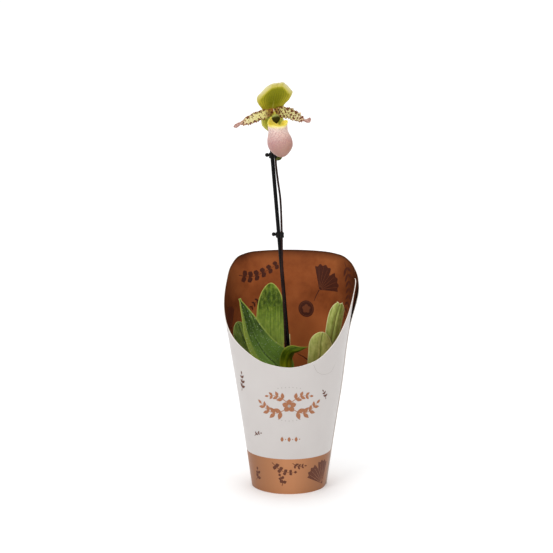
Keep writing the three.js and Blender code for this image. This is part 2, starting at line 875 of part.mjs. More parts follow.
// The pouch: half width, half depth, how far to the right it leans and the middle of its depth at
// each height, and the height of its rim at each bearing from the front.
const pouchHalfWidth = through([
  [-48, 3.1],
  [-46.2, 5.8],
  [-43, 9.4],
  [-39.8, 12],
  [-36.4, 13.6],
  [-32.8, 14.1],
  [-28, 13.6],
  [-23.4, 12.1],
  [-19, 11],
  [-14, 11.1],
  [-9, 11.2],
  [-2, 9],
]);
const pouchHalfDepth = through([
  [-48, 2],
  [-46.2, 5.2],
  [-43, 8.2],
  [-38.4, 10.8],
  [-33, 12],
  [-26.4, 11],
  [-19, 9.4],
  [-12, 9.2],
  [-2, 8.8],
]);
const pouchLean = through([
  [-48, -0.3],
  [-40, -0.3],
  [-32, -0.5],
  [-24, -0.5],
  [-16, 0.2],
  [-8, 1],
  [-2, 0.4],
]);
const pouchMiddle = through([
  [-48, -14],
  [-38, -13.6],
  [-29, -12.4],
  [-19, -10.2],
  [-8, -9.2],
  [-2, -9],
]);
const pouchRim = through([
  [-180, -5.2],
  [-166, -3.6],
  [-150, -2.4],
  [-132, -4.4],
  [-100, -8],
  [-84, -9.6],
  [-60, -11],
  [-40, -12.1],
  [-20, -13.1],
  [0, -13.9],
  [22, -13.7],
  [42, -12.8],
  [58, -10.6],
  [72, -7.4],
  [88, -7.2],
  [104, -7.6],
  [120, -7.9],
  [132, -8.6],
  [142, -10.5],
  [150, -12.4],
  [158, -12],
  [166, -7.4],
  [174, -4.8],
  [180, -5.2],
]);
const POUCH = { foot: -48.4, wall: 0.9, sides: 28, rows: 11 };

function pouchPoint(bearing, v, inset) {
  const rim = pouchRim(bearing);
  const z = mix(POUCH.foot + inset, rim, v);
  const angle = radians(bearing);
  // The side lobes roll outwards at the rim, and the claw behind narrows.
  const near = rise(v, 0.86, 1);
  const ear = near * 0.4 * Math.exp(-(((Math.abs(bearing) - 74) / 20) ** 2));
  const lip = near * 0.4 * Math.exp(-((bearing / 50) ** 2));
  const reach = ear + lip - inset;
  const closing = v < 0.02 ? 0 : 1;
  const claw = 1 - 0.16 * near * rise(Math.abs(bearing), 120, 160);
  const x = pouchLean(z) + closing * (pouchHalfWidth(z) * claw + reach) * Math.sin(angle);
  const y = pouchMiddle(z) - closing * (pouchHalfDepth(z) + reach) * Math.cos(angle);
  return new THREE.Vector3(x, y, z);
}

function makePouch() {
  const { sides, rows, wall } = POUCH;
  const levels = Array.from({ length: rows + 1 }, (_, i) => {
    const even = i / rows;
    return mix(even, Math.sin((even * Math.PI) / 2), 0.2) * mix(0.6, 1, even ** 0.5);
  });
  const points = [];
  for (const inset of [0, wall]) {
    points.push(pouchPoint(0, 0, inset));
    for (const v of levels.slice(1))
      for (let k = 0; k < sides; k++) points.push(pouchPoint((360 * k) / sides - 180, v, inset));
  }
  const shell = 1 + rows * sides;
  const at = (side, row, k) => side * shell + 1 + (row - 1) * sides + (k % sides);
  const triangles = [];
  for (const side of [0, 1])
    for (let k = 0; k < sides; k++) {
      const flip = (a, b, c) => triangles.push(side ? [a, c, b] : [a, b, c]);
      flip(side * shell, at(side, 1, k + 1), at(side, 1, k));
      for (let row = 1; row < rows; row++) {
        const [a, b] = [at(side, row, k), at(side, row, k + 1)];
        const [c, d] = [at(side, row + 1, k), at(side, row + 1, k + 1)];
        flip(a, b, d);
        flip(a, d, c);
      }
    }
  for (let k = 0; k < sides; k++) {
    const [a, b] = [at(0, rows, k), at(0, rows, k + 1)];
    const [c, d] = [at(1, rows, k), at(1, rows, k + 1)];
    triangles.push([a, b, d], [a, d, c]);
  }
  return closedGeometry(points, triangles);
}

const COLUMN = { line: [[0, 6.2, 0.2], [0, 0, -1.2], [0, -6.4, -2.8]], radius: 2.2 };

const makeColumn = () =>
  limb(COLUMN.line, (t) => COLUMN.radius * (1 - 0.12 * t), 12, 6);

// The shield is broad above, pointed below and a little domed to the front.
function makeStaminode() {
  const width = through([[0, 2.6], [0.12, 4], [0.35, 4.6], [0.62, 4], [0.85, 2.1], [1, 0.6]]);
  const shape = {
    rib: [[0, -8, -0.8], [0, -9.3, -3.8], [0, -9.6, -7], [0, -8.8, -10.8]],
    half: width,
    face: () => vec([0, -1, 0]),
    fold: () => -0.28,
  };
  return blade(shape, { along: 10, across: 6, crowding: 0.3, middle: 1.5, edge: 0.8 });
}

function makeFlower() {
  const flower = new THREE.Group();
  flower.position.set(...FLOWER.centre);
  flower.rotation.set(-radians(FLOWER.faceUp), -radians(FLOWER.roll), radians(FLOWER.turn), "ZYX");
  add(flower, "dorsal_sepal", makeDorsalSepal(), 0x8f9422);
  add(flower, "synsepal", makeSynsepal(), 0x7f9a2a);
  for (const one of PETALS) add(flower, one.name, petal(one), 0xcdbb62);
  add(flower, "pouch", makePouch(), 0xc99c92);
  add(flower, "column", makeColumn(), 0xcfcf7a);
  add(flower, "staminode", makeStaminode(), 0x2f3a12);
  return flower;
}

// ---------------------------------------------------------------- under the flower

// The ovary bends from the top of the scape to the back of the flower.
function makeOvary(flower) {
  flower.updateMatrixWorld(true);
  const back = new THREE.Vector3(0, 6.2 + 3 * GAP, 0.2).applyMatrix4(flower.matrixWorld);
  const ahead = new THREE.Vector3(0, 12, 0).applyMatrix4(flower.matrixWorld);
  const line = [
    [-15.63, -4.2, 389.8],
    [-15.9, -3.4, 398],
    [-15.8, -1, 410],
    [-15.4, -1.6, 422],
    ahead.toArray(),
    back.toArray(),
  ];
  const girth = through([[0, 1.4], [0.25, 1.7], [0.6, 2.1], [0.85, 2], [1, 3.7]]);
  return limb(line, girth, 8, 16);
}

function makeBract() {
  const width = through([[0, 1.8], [0.3, 3.4], [0.6, 3.6], [0.85, 2.2], [1, 0.6]]);
  const shape = {
    rib: [
      [-14.2, -6.6, 379.4],
      [-12, -8.6, 379.8],
      [-10, -10, 381.4],
      [-8.4, -11.2, 385.5],
      [-7.4, -11.4, 391.5],
    ],
    half: width,
    face: (t) => vec([-0.4, 0.7, 0.8]).lerp(vec([-0.6, 1, 0.2]), t),
    fold: () => 0.75,
  };
  return blade(shape, { along: 10, across: 6, crowding: 0.3, middle: 1.1, edge: 0.7 });
}

function makeBud() {
  const line = [[-12.7, -6.4, 381.8], [-11.4, -7.5, 384.5], [-10.1, -8.5, 389.2], [-9.5, -8.7, 394.6]];
  const girth = through([[0, 0.8], [0.35, 2], [0.65, 2.1], [0.9, 1.2], [1, 0.4]]);
  return limb(line, girth, 8, 8);
}

// ---------------------------------------------------------------- assembly

function add(group, name, geometry, colour, roughness = 0.6) {
  const material = new THREE.MeshStandardMaterial({ color: colour, roughness, metalness: 0 });
  const mesh = new THREE.Mesh(welded(geometry), material);
  mesh.name = name;
  group.add(mesh);
  return mesh;
}

const orchid = new THREE.Group();
orchid.name = "paphiopedilum_in_sleeve";

add(orchid, "sleeve", makeSleeve(), 0xe9e4e0, 0.75);
add(orchid, "grow_pot", makeGrowPot(), 0x1d1c1b, 0.5);
add(orchid, "substrate", makeSubstrate(), 0x4a2f1e, 0.9);
add(orchid, "rhizome_and_roots", makeRhizome(), 0x8a8a4a, 0.7);
for (const one of LEAVES) add(orchid, one.name, leaf(one), one.colour, 0.45);

add(orchid, "scape", tube(SCAPE, SCAPE_RADIUS, 8, 30), 0x2c1a1c, 0.8);
const stake = add(orchid, "stake", makeStake(), 0x121212, 0.25);
stake.position.copy(stakeFoot);
stake.quaternion.copy(stakeTurn);

// The clips hold the scape to the stake, each square to the stake at its own height.
const scapeCurve = new THREE.CatmullRomCurve3(SCAPE.map(vec));
function clipAt(name, z) {
  const centre = stakeAt(z);
  let share = 0.5;
  for (let reach = 0.25; reach > 1e-5; reach /= 2)
    share += scapeCurve.getPointAt(share).z < z ? reach : -reach;
  const local = scapeCurve.getPointAt(share).sub(centre);
  local.applyQuaternion(stakeTurn.clone().invert());
  const clip = add(orchid, name, makeClip([local.x, local.y]), 0x141414, 0.35);
  clip.position.copy(centre);
  clip.quaternion.copy(stakeTurn);
}
clipAt("clip_lower", 293.4);
clipAt("clip_upper", 384);

const flower = makeFlower();
orchid.add(flower);
add(orchid, "ovary", makeOvary(flower), 0x3d2a24, 0.8);
add(orchid, "bract", makeBract(), 0x39451c, 0.6);
add(orchid, "bud", makeBud(), 0x2e1d1a, 0.6);

export default orchid;
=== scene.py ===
"""Potted slipper orchid in a carton sleeve: the looks of every piece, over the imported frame."""

import logging
import math
import random
from dataclasses import dataclass, field
from enum import Enum
from functools import cached_property
from typing import Any, Callable, Iterable, Sequence

import bmesh
import bpy
from mathutils import Matrix, Vector


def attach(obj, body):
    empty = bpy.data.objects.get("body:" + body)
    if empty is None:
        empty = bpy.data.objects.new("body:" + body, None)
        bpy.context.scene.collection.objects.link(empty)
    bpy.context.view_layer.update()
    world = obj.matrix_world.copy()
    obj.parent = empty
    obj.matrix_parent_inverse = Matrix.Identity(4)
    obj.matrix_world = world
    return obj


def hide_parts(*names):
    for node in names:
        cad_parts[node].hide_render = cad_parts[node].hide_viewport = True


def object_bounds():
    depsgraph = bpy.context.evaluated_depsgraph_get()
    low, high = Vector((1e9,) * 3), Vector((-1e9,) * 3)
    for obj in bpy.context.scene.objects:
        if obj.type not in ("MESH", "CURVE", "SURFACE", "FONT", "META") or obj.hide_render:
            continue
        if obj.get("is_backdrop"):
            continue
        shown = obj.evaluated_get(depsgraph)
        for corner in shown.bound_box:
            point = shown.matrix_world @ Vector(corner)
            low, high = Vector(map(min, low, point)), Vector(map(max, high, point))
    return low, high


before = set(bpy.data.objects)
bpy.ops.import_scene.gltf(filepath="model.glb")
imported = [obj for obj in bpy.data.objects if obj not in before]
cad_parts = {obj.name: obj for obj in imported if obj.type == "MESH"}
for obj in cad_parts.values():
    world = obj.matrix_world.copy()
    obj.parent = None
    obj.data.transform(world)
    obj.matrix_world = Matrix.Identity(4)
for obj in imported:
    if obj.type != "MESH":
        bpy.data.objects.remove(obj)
CAD_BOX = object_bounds()

MM = 0.001  # every size below is in millimetres, and a mesh is in metres
PER_MM = 1000.0  # turns "per millimetre" into "per metre" for a pattern on object coordinates
MERGE = 0.002 * MM  # vertices nearer than this become one
GOLDEN_ANGLE = 2.39996  # radians from one place to the next, which spreads them evenly

Shape = Callable[[float], float]
Place = Callable[[float, float], Vector]
Colour = tuple[float, float, float, float]
Points = Sequence[Sequence[float]]
Mesh = bmesh.types.BMesh
Piece = bpy.types.Object


# ---- measures and curves


def linear(code: str) -> Colour:
    """Turns an sRGB hex code into the linear colour that a shader takes.

    Args:
        code: six hex digits after a hash sign.

    Returns:
        The linear red, green, blue and an alpha of one.
    """
    shares = [int(code[i : i + 2], 16) / 255 for i in (1, 3, 5)]
    red, green, blue = (s / 12.92 if s <= 0.04045 else ((s + 0.055) / 1.055) ** 2.4 for s in shares)
    return red, green, blue, 1.0


def mix(low: float, high: float, share: float) -> float:
    """Goes from low to high by a share."""
    return low + (high - low) * share


def rise(x: float, start: float, end: float) -> float:
    """Rises smoothly from 0 at start to 1 at end."""
    t = min(1.0, max(0.0, (x - start) / (end - start)))
    return t * t * (3 - 2 * t)


def bump(x: float, centre: float, width: float) -> float:
    """Makes a rounded hump of height 1 at the centre."""
    return math.exp(-(((x - centre) / width) ** 2))


def through(points: Points) -> Shape:
    """Makes a smooth curve through points that never overshoots them.

    Args:
        points: pairs of x and y, in order of x.

    Returns:
        The function that gives y at x, held level outside the points.
    """
    slopes = [0.0]
    for (x0, y0), (x1, y1), (x2, y2) in zip(points, points[1:], points[2:]):
        before, after = (y1 - y0) / (x1 - x0), (y2 - y1) / (x2 - x1)
        slopes.append(0.0 if before * after <= 0 else 2 * before * after / (before + after))
    slopes.append(0.0)

    def height(x: float) -> float:
        """Gives the curve's height at x.

        Args:
            x: where on the curve.

        Returns:
            The height there.
        """
        i = 0
        while i < len(points) - 2 and x > points[i + 1][0]:
            i += 1
        (x0, y0), (x1, y1) = points[i], points[i + 1]
        w = x1 - x0
        t = min(1.0, max(0.0, (x - x0) / w))
        ends = y0 * (1 + 2 * t) * (1 - t) ** 2 + y1 * t * t * (3 - 2 * t)
        return ends + w * (slopes[i] * t * (1 - t) ** 2 - slopes[i + 1] * t * t * (1 - t))

    return height


class Line:
    """A smooth curve through points, walked by its length."""

    STEPS = 200

    def __init__(self, points: Points) -> None:
        """Measures the curve.

        Args:
            points: the points that it passes through, in millimetres.
        """
        knots = [Vector(p) for p in points]
        self.knots = [knots[0] * 2 - knots[1], *knots, knots[-1] * 2 - knots[-2]]
        self.walked = [0.0]
        before = self._bare(0.0)
        for i in range(1, self.STEPS + 1):
            here = self._bare(i / self.STEPS)
            self.walked.append(self.walked[-1] + (here - before).length)
            before = here
        self.length = self.walked[-1]
        self._known: dict[float, tuple[Vector, Vector]] = {}

    def _bare(self, share: float) -> Vector:
        """Gives the point at a share of the knots, by a centripetal cubic.

        Args:
            share: the share of the knots, from 0 to 1.

        Returns:
            The point.
        """
        spans = len(self.knots) - 3
        i = min(spans - 1, int(share * spans))
        t = share * spans - i
        a, b, c, d = self.knots[i : i + 4]
        mid = math.sqrt((c - b).length) or 1.0
        first = math.sqrt((b - a).length) or mid
        last = math.sqrt((d - c).length) or mid
        leave = ((b - a) / first - (c - a) / (first + mid) + (c - b) / mid) * mid
        reach = ((c - b) / mid - (d - b) / (mid + last) + (d - c) / last) * mid
        cubic = b * 2 - c * 2 + leave + reach
        square = c * 3 - b * 3 - leave * 2 - reach
        return b + leave * t + square * t**2 + cubic * t**3

    def at(self, t: float) -> tuple[Vector, Vector]:
        """Finds a place on the line.

        Args:
            t: the share of its length, from 0 to 1.

        Returns:
            The point, and the way that the line runs there.
        """
        if t not in self._known:
            goal = min(1.0, max(0.0, t)) * self.length
            i = 0
            while i < self.STEPS - 1 and self.walked[i + 1] < goal:
                i += 1
            part = (goal - self.walked[i]) / (self.walked[i + 1] - self.walked[i])
            share = (i + part) / self.STEPS
            ends = self._bare(max(0.0, share - 1e-4)), self._bare(min(1.0, share + 1e-4))
            self._known[t] = self._bare(share), (ends[1] - ends[0]).normalized()
        return self._known[t]


# ---- mesh work


def bend_grid(
    columns: int,
    rows: int,
    place: Place,
    flat: Place | None = None,
    wraps: bool = False,
) -> Mesh:
    """Makes a grid and bends it to a surface.

    Args:
        columns: faces across, along u.
        rows: faces along v.
        place: gives the point at u and v, each from 0 to 1.
        flat: gives the measures that the attribute "flat" keeps for the patterns: millimetres
            across, along and in from the margin.
        wraps: the last column meets the first, or a row closes to a point.

    Returns:
        The bent grid, with u and v as its UV map "blade".
    """
    bm = bmesh.new()
    uv = bm.loops.layers.uv.new("blade")
    measure = bm.verts.layers.float_vector.new("flat")
    bmesh.ops.create_grid(bm, x_segments=columns, y_segments=rows, size=0.5)
    for face in bm.faces:
        for loop in face.loops:
            loop[uv].uv = (loop.vert.co.x + 0.5, loop.vert.co.y + 0.5)
    for vert in bm.verts:
        u, v = vert.co.x + 0.5, vert.co.y + 0.5
        if flat:
            vert[measure] = flat(u, v)
        vert.co = place(u, v) * MM
    if wraps:
        bmesh.ops.remove_doubles(bm, verts=bm.verts, dist=MERGE)
    return bm


def thicken(bm: Mesh, wall: Callable[[Vector], float]) -> None:
    """Gives an open surface a wall, half to each side, and closes its rim.

    The front keeps the first material, the back gets the second and the rim the third.

    Args:
        bm: the surface.
        wall: gives the wall in millimetres for a vertex's "flat" measures.
    """
    lift = bm.verts.layers.float_vector.new("lift")
    measure = bm.verts.layers.float_vector["flat"]
    bm.normal_update()
    for vert in bm.verts:
        vert[lift] = vert.normal * (wall(vert[measure]) / 2 * MM)
    back = set(bm.faces)
    made = bmesh.ops.extrude_face_region(bm, geom=bm.faces[:])["geom"]
    front = {item for item in made if isinstance(item, bmesh.types.BMFace)}
    for item in made:
        if isinstance(item, bmesh.types.BMVert):
            item.co += 2 * item[lift]
    for vert in bm.verts:
        vert.co -= vert[lift]
    for face in bm.faces:
        face.material_index = 0 if face in front else 1 if face in back else 2
    bm.verts.layers.float_vector.remove(lift)


def join(target: Mesh, part: Mesh, material: int | None = None) -> None:
    """Adds one mesh to another and frees it.

    Args:
        target: the mesh that grows.
        part: the mesh that it takes in.
        material: the material index that the part's faces get, or None to keep theirs.
    """
    if material is not None:
        for face in part.faces:
            face.material_index = material
    carrier = bpy.data.meshes.new("carrier")
    part.to_mesh(carrier)
    part.free()
    target.from_mesh(carrier)
    bpy.data.meshes.remove(carrier)


def round_limb(line: Line, girth: Shape, sides: int, rows: int) -> Mesh:
    """Makes a round closed limb along a line.

    Args:
        line: its middle.
        girth: gives its radius at a share of the length.
        sides: faces round it.
        rows: faces along it.

    Returns:
        The closed limb.
    """
    frames: list[tuple[Vector, Vector, Vector]] = []
    normal = line.at(0.0)[1].orthogonal().normalized()
    for i in range(rows + 1):
        centre, along = line.at(i / rows)
        normal = (normal - along * normal.dot(along)).normalized()
        frames.append((centre, normal, along.cross(normal)))

    def place(u: float, v: float) -> Vector:
        """Puts a vertex on the ring of its row."""
        centre, out, side = frames[round(v * rows)]
        angle = 2 * math.pi * u
        return centre + (out * math.cos(angle) + side * math.sin(angle)) * girth(v)

    def flat(u: float, v: float) -> Vector:
        """Measures round the limb, along it, and from its far end."""
        return Vector((2 * math.pi * u * girth(v), v * line.length, (1 - v) * line.length))

    bm = bend_grid(sides, rows, place, flat, wraps=True)
    bmesh.ops.holes_fill(bm, edges=[e for e in bm.edges if e.is_boundary], sides=0)
    return bm


def turned(profile: Points, steps: int) -> Mesh:
    """Spins a profile about the Z axis.

    Args:
        profile: radius and height pairs; a first and last on the axis close the shape, and
            otherwise the last is joined to the first.
        steps: faces round the axis.

    Returns:
        The closed solid.
    """
    bm = bmesh.new()
    bm.loops.layers.uv.new("blade")
    bm.verts.layers.float_vector.new("flat")
    ring = [bm.verts.new((r * MM, 0, z * MM)) for r, z in profile]
    pairs = list(zip(ring, ring[1:]))
    if profile[0][0] > 0:
        pairs.append((ring[-1], ring[0]))
    edges = [bm.edges.new(pair) for pair in pairs]
    bmesh.ops.spin(
        bm, geom=ring + edges, cent=(0, 0, 0), axis=(0, 0, 1), angle=2 * math.pi, steps=steps,
        use_merge=True,
    )
    bmesh.ops.remove_doubles(bm, verts=bm.verts, dist=MERGE)
    bmesh.ops.recalc_face_normals(bm, faces=bm.faces)
    return bm


def facing(way: Vector, place: Vector = Vector()) -> Matrix:
    """Gives the matrix that turns +Z to a way and moves to a place, in metres."""
    return Matrix.Translation(place) @ way.to_track_quat("Z", "Y").to_matrix().to_4x4()


def add_hair(bm: Mesh, root: Vector, way: Vector, radius: float) -> None:
    """Sets one tapered hair on a surface.

    Args:
        bm: the mesh that it joins.
        root: its foot, in millimetres.
        way: its direction and length, in millimetres.
        radius: its radius at the foot, in millimetres.
    """
    bmesh.ops.create_cone(
        bm, cap_ends=True, segments=3, radius1=radius * MM, radius2=radius * 0.2 * MM,
        depth=way.length * MM, matrix=facing(way, (root + way / 2) * MM),
    )


def finish_piece(
    bm: Mesh,
    name: str,
    slot: str,
    finishes: Sequence["Finish"],
    replaces: Sequence[str] = (),
    sharp: float = 40.0,
) -> Piece:
    """Turns a finished mesh into a piece of the scene.

    Args:
        bm: the mesh, which is freed.
        name: the piece's name.
        slot: the record's material slot; not used here.
        finishes: one finish for each material index.
        replaces: the plain solids that the piece stands for.
        sharp: edges that turn by more than this many degrees stay sharp.

    Returns:
        The new object.
    """
    bm.normal_update()
    for face in bm.faces:
        face.smooth = True
    for edge in bm.edges:
        edge.smooth = not edge.is_manifold or edge.calc_face_angle(0.0) < math.radians(sharp)
    mesh = bpy.data.meshes.new(name)
    bm.to_mesh(mesh)
    bm.free()
    for finish in finishes:
        mesh.materials.append(finish.material())
    piece = bpy.data.objects.new(name, mesh)
    bpy.context.scene.collection.objects.link(piece)
    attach(piece, "root")
    if replaces:
        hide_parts(*replaces)
    logging.info("%s: %d faces", name, len(mesh.polygons))
    return piece


def dress_node(node: str, finish: "Finish") -> None:
    """Gives a plain solid that stays as it is a better material.

    Args:
        node: the solid's name.
        finish: its finish.
    """
    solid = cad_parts[node]
    for place in solid.material_slots:
        place.material = finish.material()
    logging.info("%s: dressed", node)


# ---- finishes


class Graph:
    """The nodes of one material."""

    def __init__(self, name: str) -> None:
        """Starts an empty material of this name.

        Args:
            name: the material's name.
        """
        self.material = bpy.data.materials.new(name)
        self.material.use_nodes = True
        self.tree = self.material.node_tree
        self.tree.nodes.clear()

    @cached_property
    def place(self) -> Any:
        """Gives the point on the object, in metres."""
        return self.add("TexCoord").outputs["Object"]

    @cached_property
    def flat(self) -> Any:
        """Gives the measures across, along and in from the margin, in millimetres."""
        return self.add("Attribute", attribute_name="flat").outputs["Vector"]

    @cached_property
    def blade(self) -> Any:
        """Gives the shares across and along."""
        return self.add("UVMap", uv_map="blade").outputs["UV"]

    def add(self, kind: str, inputs: dict[str, Any] | Sequence[Any] = (), **settings: Any) -> Any:
        """Adds a node.

        Args:
            kind: the node's type, without its ShaderNode prefix.
            inputs: what its sockets get, in their order or by name: another node, an output, a
                hex colour or a plain value.
            **settings: the node's own settings; `ramp` gives a colour ramp's stops, and a Mix
                mixes colours unless its data type says otherwise.

        Returns:
            The node.
        """
        node = self.tree.nodes.new("ShaderNode" + kind)
        for stop, (place, code) in enumerate(settings.pop("ramp", ())):
            stops = node.color_ramp.elements
            one = stops[stop] if stop < 2 else stops.new(place)
            one.position, one.color = place, linear(code)
        if kind == "Mix":
            settings.setdefault("data_type", "RGBA")
        for key, value in settings.items():
            setattr(node, key, value)
        sockets = [s for s in node.inputs if s.enabled]
        if isinstance(inputs, dict):
            sockets = [next(s for s in sockets if s.name == key) for key in inputs]
            inputs = list(inputs.values())
        for socket, value in zip(sockets, inputs):
            if isinstance(value, bpy.types.Node):
                value = next(s for s in value.outputs if s.enabled)
            if isinstance(value, bpy.types.NodeSocket):
                self.tree.links.new(value, socket)
            else:
                socket.default_value = linear(value) if isinstance(value, str) else value
        return node

    def tint(self, under: Any, over: Any, *span: Any) -> Any:
        """Lays one colour over another by a value.

        Args:
            under: the colour below.
            over: the colour above.
            *span: the value, where its range starts and ends, and the strengths there.

        Returns:
            The mixed colour.
        """
        return self.add("Mix", [self.add("MapRange", span), under, over])

    def skin(
        self, colour: Any, roughness: Any, height: Any, relief: tuple[float, float],
        shine: float = 0.5, glow: tuple[float, tuple[float, float, float], float] | None = None,
    ) -> dict[str, Any]:
        """Gives what most finishes hand to the Principled shader.

        Args:
            colour: the base colour.
            roughness: the roughness.
            height: what stands up in the relief.
            relief: the strength and the height in millimetres of the relief.
            shine: the specular level.
            glow: the weight of the light that goes through, the reach of its red, green and
                blue, and its depth in millimetres.

        Returns:
            The shader's sockets and what each gets.
        """
        strength, high = relief
        given = {
            "Normal": self.add("Bump", {"Strength": strength, "Distance": high * MM, "Height": height}),
            "Base Color": colour, "Roughness": roughness, "Specular IOR Level": shine,
        }
        if glow:
            weight, reach, scale = glow
            given.update({
                "Subsurface Weight": weight, "Subsurface Radius": reach, "Subsurface Scale": scale * MM,
            })
        return given


@dataclass(frozen=True)
class Finish:
    """A finish: its name, and the nodes that its surface is made of."""

    name: str

    def surface(self, graph: Graph) -> dict[str, Any]:
        """Lays out the nodes and gives what the Principled shader's sockets get.

        Args:
            graph: the material's nodes.

        Returns:
            The shader's sockets and what each gets.
        """
        raise NotImplementedError

    def material(self) -> bpy.types.Material:
        """Gives the material, made once.

        Returns:
            The material.
        """
        known = bpy.data.materials.get(self.name)
        if known:
            return known
        graph = Graph(self.name)
        shader = graph.add("BsdfPrincipled", self.surface(graph))
        graph.add("OutputMaterial", {"Surface": shader})
        return graph.material


@dataclass(frozen=True)
class PaintedBoard(Finish):
    """White clay-coated carton with an offset-printed copper-brown foot, darker to the sides."""

    white: str = "#CBC6C3"
    band: str = "#B97E55"
    band_height: float = 43.0

    def surface(self, graph: Graph) -> dict[str, Any]:
        """Mixes the two inks by height over the faint cloud of the coating."""
        axes = graph.add("SeparateXYZ", [graph.place])
        above = graph.add("Math", [axes.outputs["Z"], self.band_height * MM], operation="GREATER_THAN")
        cloud = graph.add("TexNoise", [graph.place, PER_MM / 30, 2.0])
        white = graph.add("Mix", [cloud, self.white, "#C5BFBC"])
        aside = graph.add("Math", [axes.outputs["X"]], operation="ABSOLUTE")
        band = graph.tint(self.band, "#93613F", aside, 5 * MM, 40 * MM)
        ink = graph.add("Mix", [above, band, white])
        # The felt side of the board shows through the coating as a fine tooth.
        tooth = graph.add("TexNoise", [graph.place, PER_MM / 0.5, 3.0])
        gloss = graph.add("MapRange", [tooth, 0.0, 1.0, 0.42, 0.58])
        sheen = {"Sheen Weight": 0.2, "Sheen Roughness": 0.3}
        return graph.skin(ink, gloss, tooth, (0.25, 0.05), 0.25) | sheen


@dataclass(frozen=True)
class BrownBoard(Finish):
    """The inside of the carton, printed in a clouded saddle brown, with painted shade that darkens it
    to its edges and painted light that brightens its lower part.
    """

    light: str = "#B06434"
    middle: str = "#9B5228"
    dark: str = "#7A3C19"
    # The near-black of the painted shade.
    edge: str = "#220D04"

    def surface(self, graph: Graph) -> dict[str, Any]:
        """Clouds the brown at two scales, brightens its lower part with painted light, and darkens it
        with painted shade along the cut edge, at the sides that turn away and on the end that laps
        over.
        """
        sheet = graph.add("SeparateXYZ", [graph.flat])
        axes = graph.add("SeparateXYZ", [graph.place])
        broad = graph.add("TexNoise", [graph.place, PER_MM / 38, 6.0, 0.62])
        cloud = graph.add("ValToRGB", [broad], ramp=[
            (0.3, self.dark), (0.72, self.light), (0.5, self.middle),
        ])
        # Painted shade along the cut edge.
        shade = graph.add(
            "ValToRGB", [graph.add("MapRange", [sheet.outputs["Z"], 0.0, 28.0])],
            ramp=[(0.0, "#F4F4F4"), (1.0, "#000000"), (0.12, "#BEBEBE"), (0.35, "#707070")],
        )
        # Painted light brightens the lower part, deep in the sleeve, where less light reaches.
        lower = graph.tint(cloud, "#CB753F", axes.outputs["Z"], 145 * MM, 205 * MM, 0.85, 0.0)
        aside = graph.add("Math", [axes.outputs["X"]], operation="ABSOLUTE")
        # Painted shade where the sheet turns away at the sides.
        turning = graph.add("MapRange", [aside, 46 * MM, 78 * MM, 0.0, 0.8])
        # Painted shadow makes the end that laps over the other nearly black, as the gap between the two
        # layers lies in shade.
        lap_gap_shadow = graph.add("MapRange", [sheet.outputs["X"], -322.0, -304.0, 1.0, 0.0])
        sides = graph.add("Math", [turning, lap_gap_shadow], operation="MAXIMUM")
        painted_shade = graph.add("Math", [sides, shade], operation="MAXIMUM")
        ink = graph.add("Mix", [painted_shade, lower, self.edge])
        tooth = graph.add("TexNoise", [graph.place, PER_MM / 0.6, 3.0])
        return graph.skin(ink, 0.6, tooth, (0.3, 0.06), 0.1)


@dataclass(frozen=True)
class CutBoard(Finish):
    """The cut edge of the carton: pale pressed pulp."""

    def surface(self, graph: Graph) -> dict[str, Any]:
        """Lays the pulp's fibres along the sheet."""
        fibre = graph.add("TexNoise", [graph.place, PER_MM / 0.9, 4.0])
        pulp = graph.add("Mix", [fibre, "#D2C8BE", "#F0EAE2"])
        return graph.skin(pulp, 0.9, fibre, (0.5, 0.1))


@dataclass(frozen=True)
class Ink(Finish):
    """A spot ink on the carton, a little starved where the board's tooth stands up."""

    colour: str
    thin: str

    def surface(self, graph: Graph) -> dict[str, Any]:
        """Thins the ink over the tooth."""
        tooth = graph.add("TexNoise", [graph.place, PER_MM / 0.7, 5.0])
        ink = graph.tint(self.colour, self.thin, tooth, 0.5, 0.75)
        return graph.skin(ink, 0.5, tooth, (0.2, 0.03), 0.15)


@dataclass(frozen=True)
class Moulded(Finish):
    """Black injection-moulded or extruded plastic with fine flow marks and handling haze."""

    colour: str
    worn: str
    roughness: float
    haze: float

    def surface(self, graph: Graph) -> dict[str, Any]:
        """Varies the gloss with the haze, and ripples the skin a little."""
        haze = graph.add("TexNoise", [graph.place, PER_MM / 6, 4.0])
        grain = graph.add("TexNoise", [graph.place, PER_MM / 0.35, 2.0])
        gloss = graph.add("MapRange", [
            haze, 0.0, 1.0, self.roughness - self.haze, self.roughness + self.haze,
        ])
        tone = graph.add("Mix", [haze, self.colour, self.worn])
        return graph.skin(tone, gloss, grain, (0.15, 0.03), 0.1)


@dataclass(frozen=True)
class Bark(Finish):
    """Coarse fir bark: brown plates with dark cracks and a corky grain."""

    dark: str = "#24140C"
    light: str = "#6E4427"

    def surface(self, graph: Graph) -> dict[str, Any]:
        """Breaks the brown into plates, and roughs it up."""
        plates = graph.add("TexVoronoi", [graph.place, PER_MM / 5])
        grain = graph.add("TexNoise", [graph.place, PER_MM / 1.8, 7.0, 0.7])
        tone = graph.add("ValToRGB", [grain], ramp=[
            (0.32, self.dark), (0.7, self.light), (0.5, "#472A18"),
        ])
        piece = graph.add("Mix", [0.35, tone, plates.outputs["Color"]], blend_type="SOFT_LIGHT")
        return graph.skin(piece, 0.92, grain, (0.9, 0.5))


@dataclass(frozen=True)
class RootSkin(Finish):
    """Felted root: olive brown with fine rings."""

    def surface(self, graph: Graph) -> dict[str, Any]:
        """Spots the felt, and rings it along its height."""
        felt = graph.add("TexNoise", [graph.place, PER_MM / 1.2, 5.0])
        tone = graph.add("ValToRGB", [felt], ramp=[(0.3, "#4A4222"), (0.75, "#8C8450")])
        return graph.skin(tone, 0.85, felt, (0.7, 0.25))


